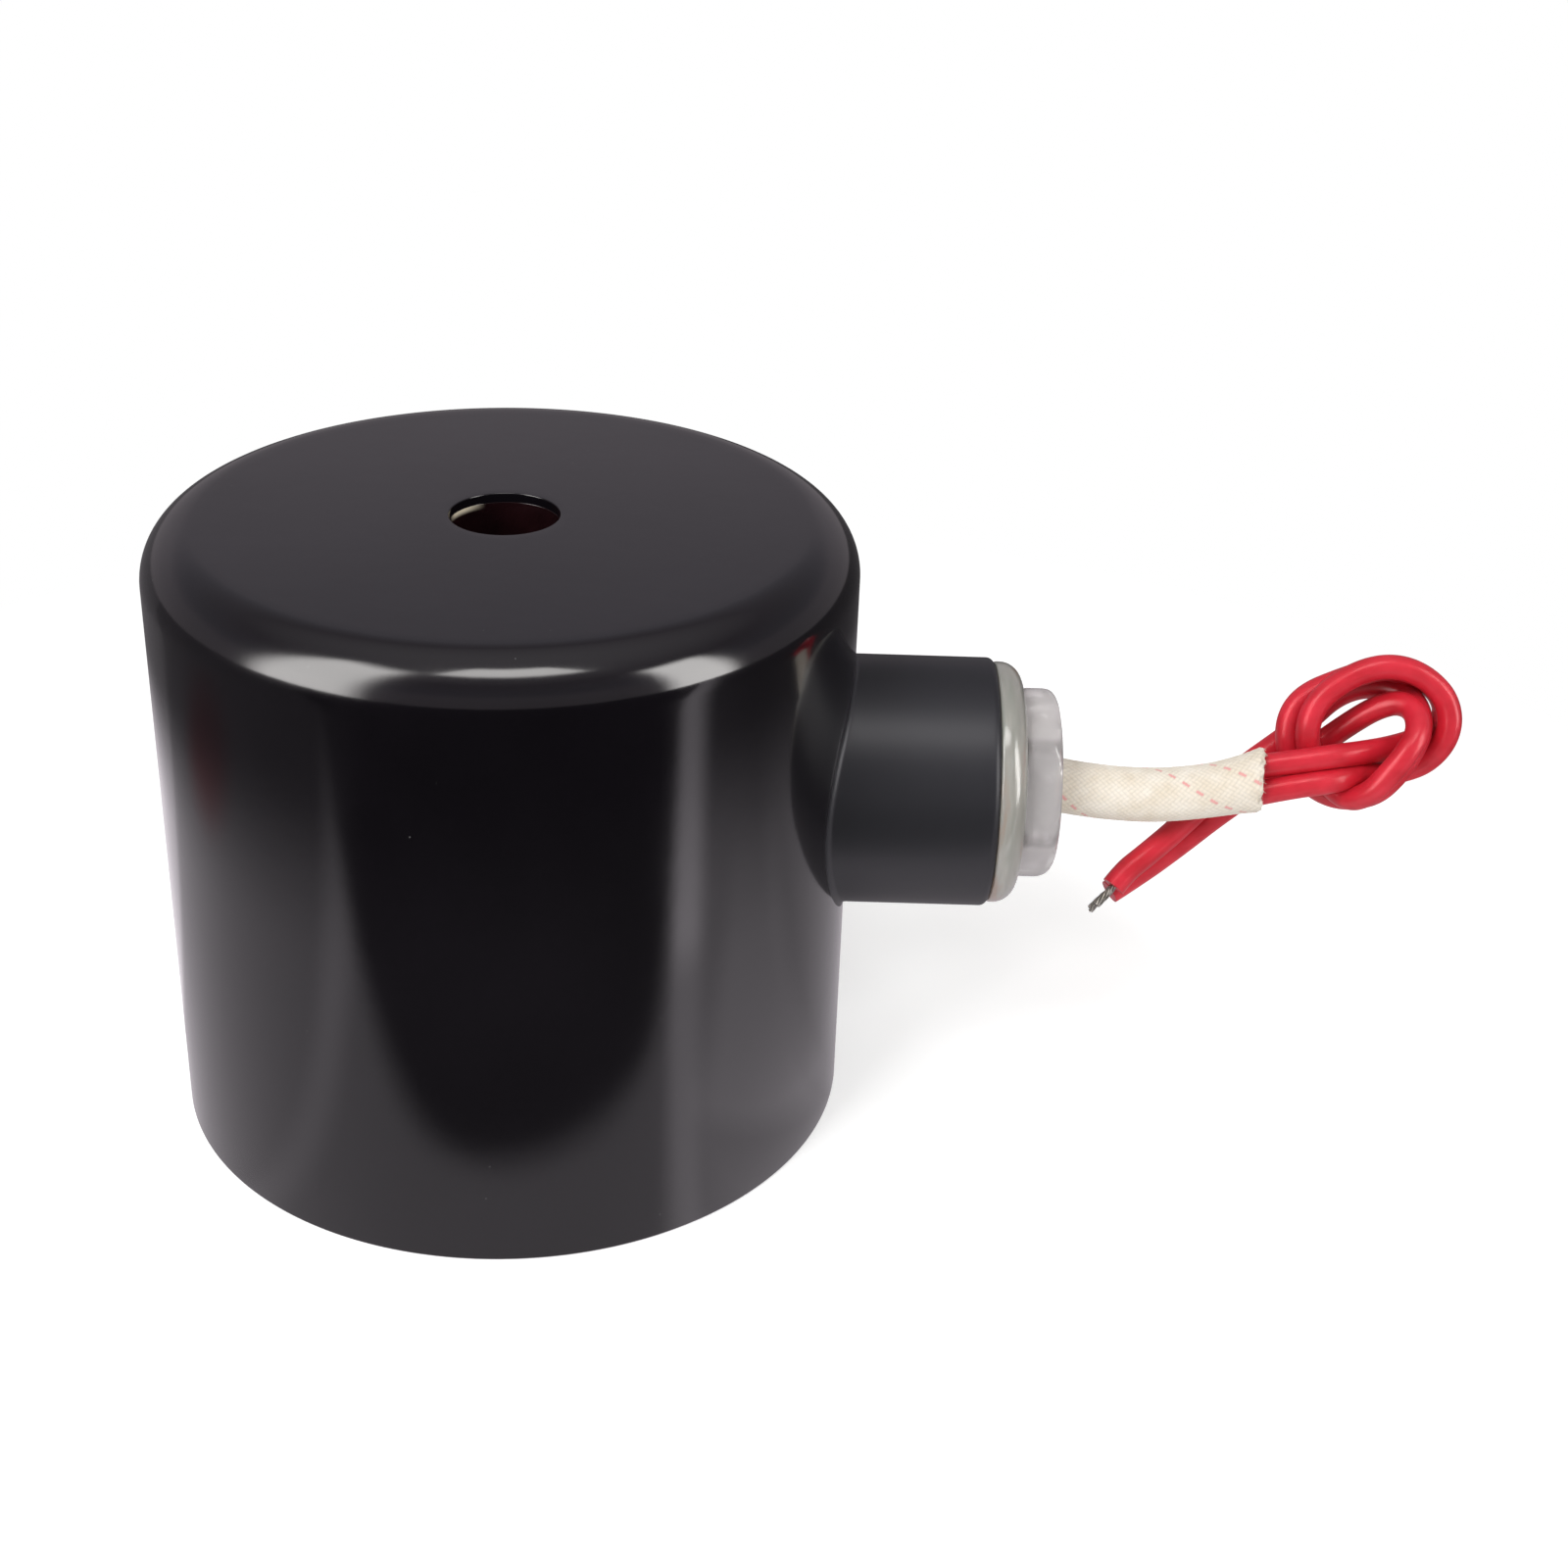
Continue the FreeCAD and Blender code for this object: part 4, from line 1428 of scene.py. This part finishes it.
class COIL_OT_set_stage(bpy.types.Operator):
    """Set the floor, the lights and the camera"""
    bl_idname = "coil.set_stage"
    bl_label = "Set stage"

    def execute(self, context):
        white_world()
        mesh = bpy.data.meshes.new("floor")
        side = 4.0
        corners = [(-side, -side, 0), (side, -side, 0), (side, side, 0), (-side, side, 0)]
        mesh.from_pydata(corners, [], [(0, 1, 2, 3)])
        floor = linked("floor", mesh)
        floor.location.z = -0.05 * MM
        mesh.materials.append(pale_floor())
        lamp("left_box", -42, 50, 1.0, (0.4, 0.3), 5.4)
        lamp("right_box", 35, 40, 1.0, (0.3, 0.3), 2.4)
        settings = stage()
        camera = linked("camera", bpy.data.cameras.new("camera"))
        camera.data.lens = settings.lens
        camera.data.sensor_width = 36
        turn = Matrix.Rotation(-settings.camera_heading, 4, "Z")
        tip = Matrix.Rotation(math.radians(90) - settings.camera_pitch, 4, "X")
        roll = Matrix.Rotation(settings.camera_roll, 4, "Z")
        camera.matrix_world = Matrix.Translation(settings.camera_place) @ turn @ tip @ roll
        context.scene.camera = camera
        context.scene.view_settings.view_transform = "Standard"
        return {"FINISHED"}


class COIL_PT_build(bpy.types.Panel):
    """Lists the steps that build the coil"""
    bl_idname = "COIL_PT_build"
    bl_label = "Valve coil"
    bl_space_type = "VIEW_3D"
    bl_region_type = "UI"
    bl_category = "Coil"

    def draw(self, context):
        for step in STEPS:
            self.layout.operator(step.bl_idname)
        for group in ("coil_can", "coil_gland", "coil_leads", "coil_stage"):
            box = self.layout.box()
            settings = getattr(context.scene, group)
            for name in settings.__annotations__:
                box.prop(settings, name)


STEPS = (
    COIL_OT_draw_can,
    COIL_OT_line_hole,
    COIL_OT_close_base,
    COIL_OT_finish_winding,
    COIL_OT_join_outlet,
    COIL_OT_fit_gland,
    COIL_OT_fit_nut,
    COIL_OT_run_leads,
    COIL_OT_braid_sleeve,
    COIL_OT_set_stage,
)

GROUPS = (
    ("coil_can", CanSettings),
    ("coil_gland", GlandSettings),
    ("coil_leads", LeadSettings),
    ("coil_stage", StageSettings),
)


def register():
    for name, group in GROUPS:
        bpy.utils.register_class(group)
        setattr(bpy.types.Scene, name, PointerProperty(type=group))
    for step in STEPS:
        bpy.utils.register_class(step)
    bpy.utils.register_class(COIL_PT_build)


def unregister():
    bpy.utils.unregister_class(COIL_PT_build)
    for step in reversed(STEPS):
        bpy.utils.unregister_class(step)
    for name, group in reversed(GROUPS):
        delattr(bpy.types.Scene, name)
        bpy.utils.unregister_class(group)


def main():
    register()
    bpy.ops.coil.draw_can()
    bpy.ops.coil.line_hole()
    bpy.ops.coil.close_base()
    bpy.ops.coil.finish_winding()
    bpy.ops.coil.join_outlet()
    bpy.ops.coil.fit_gland()
    bpy.ops.coil.fit_nut()
    bpy.ops.coil.run_leads()
    bpy.ops.coil.braid_sleeve()
    bpy.ops.coil.set_stage()


if __name__ == "__main__":
    main()
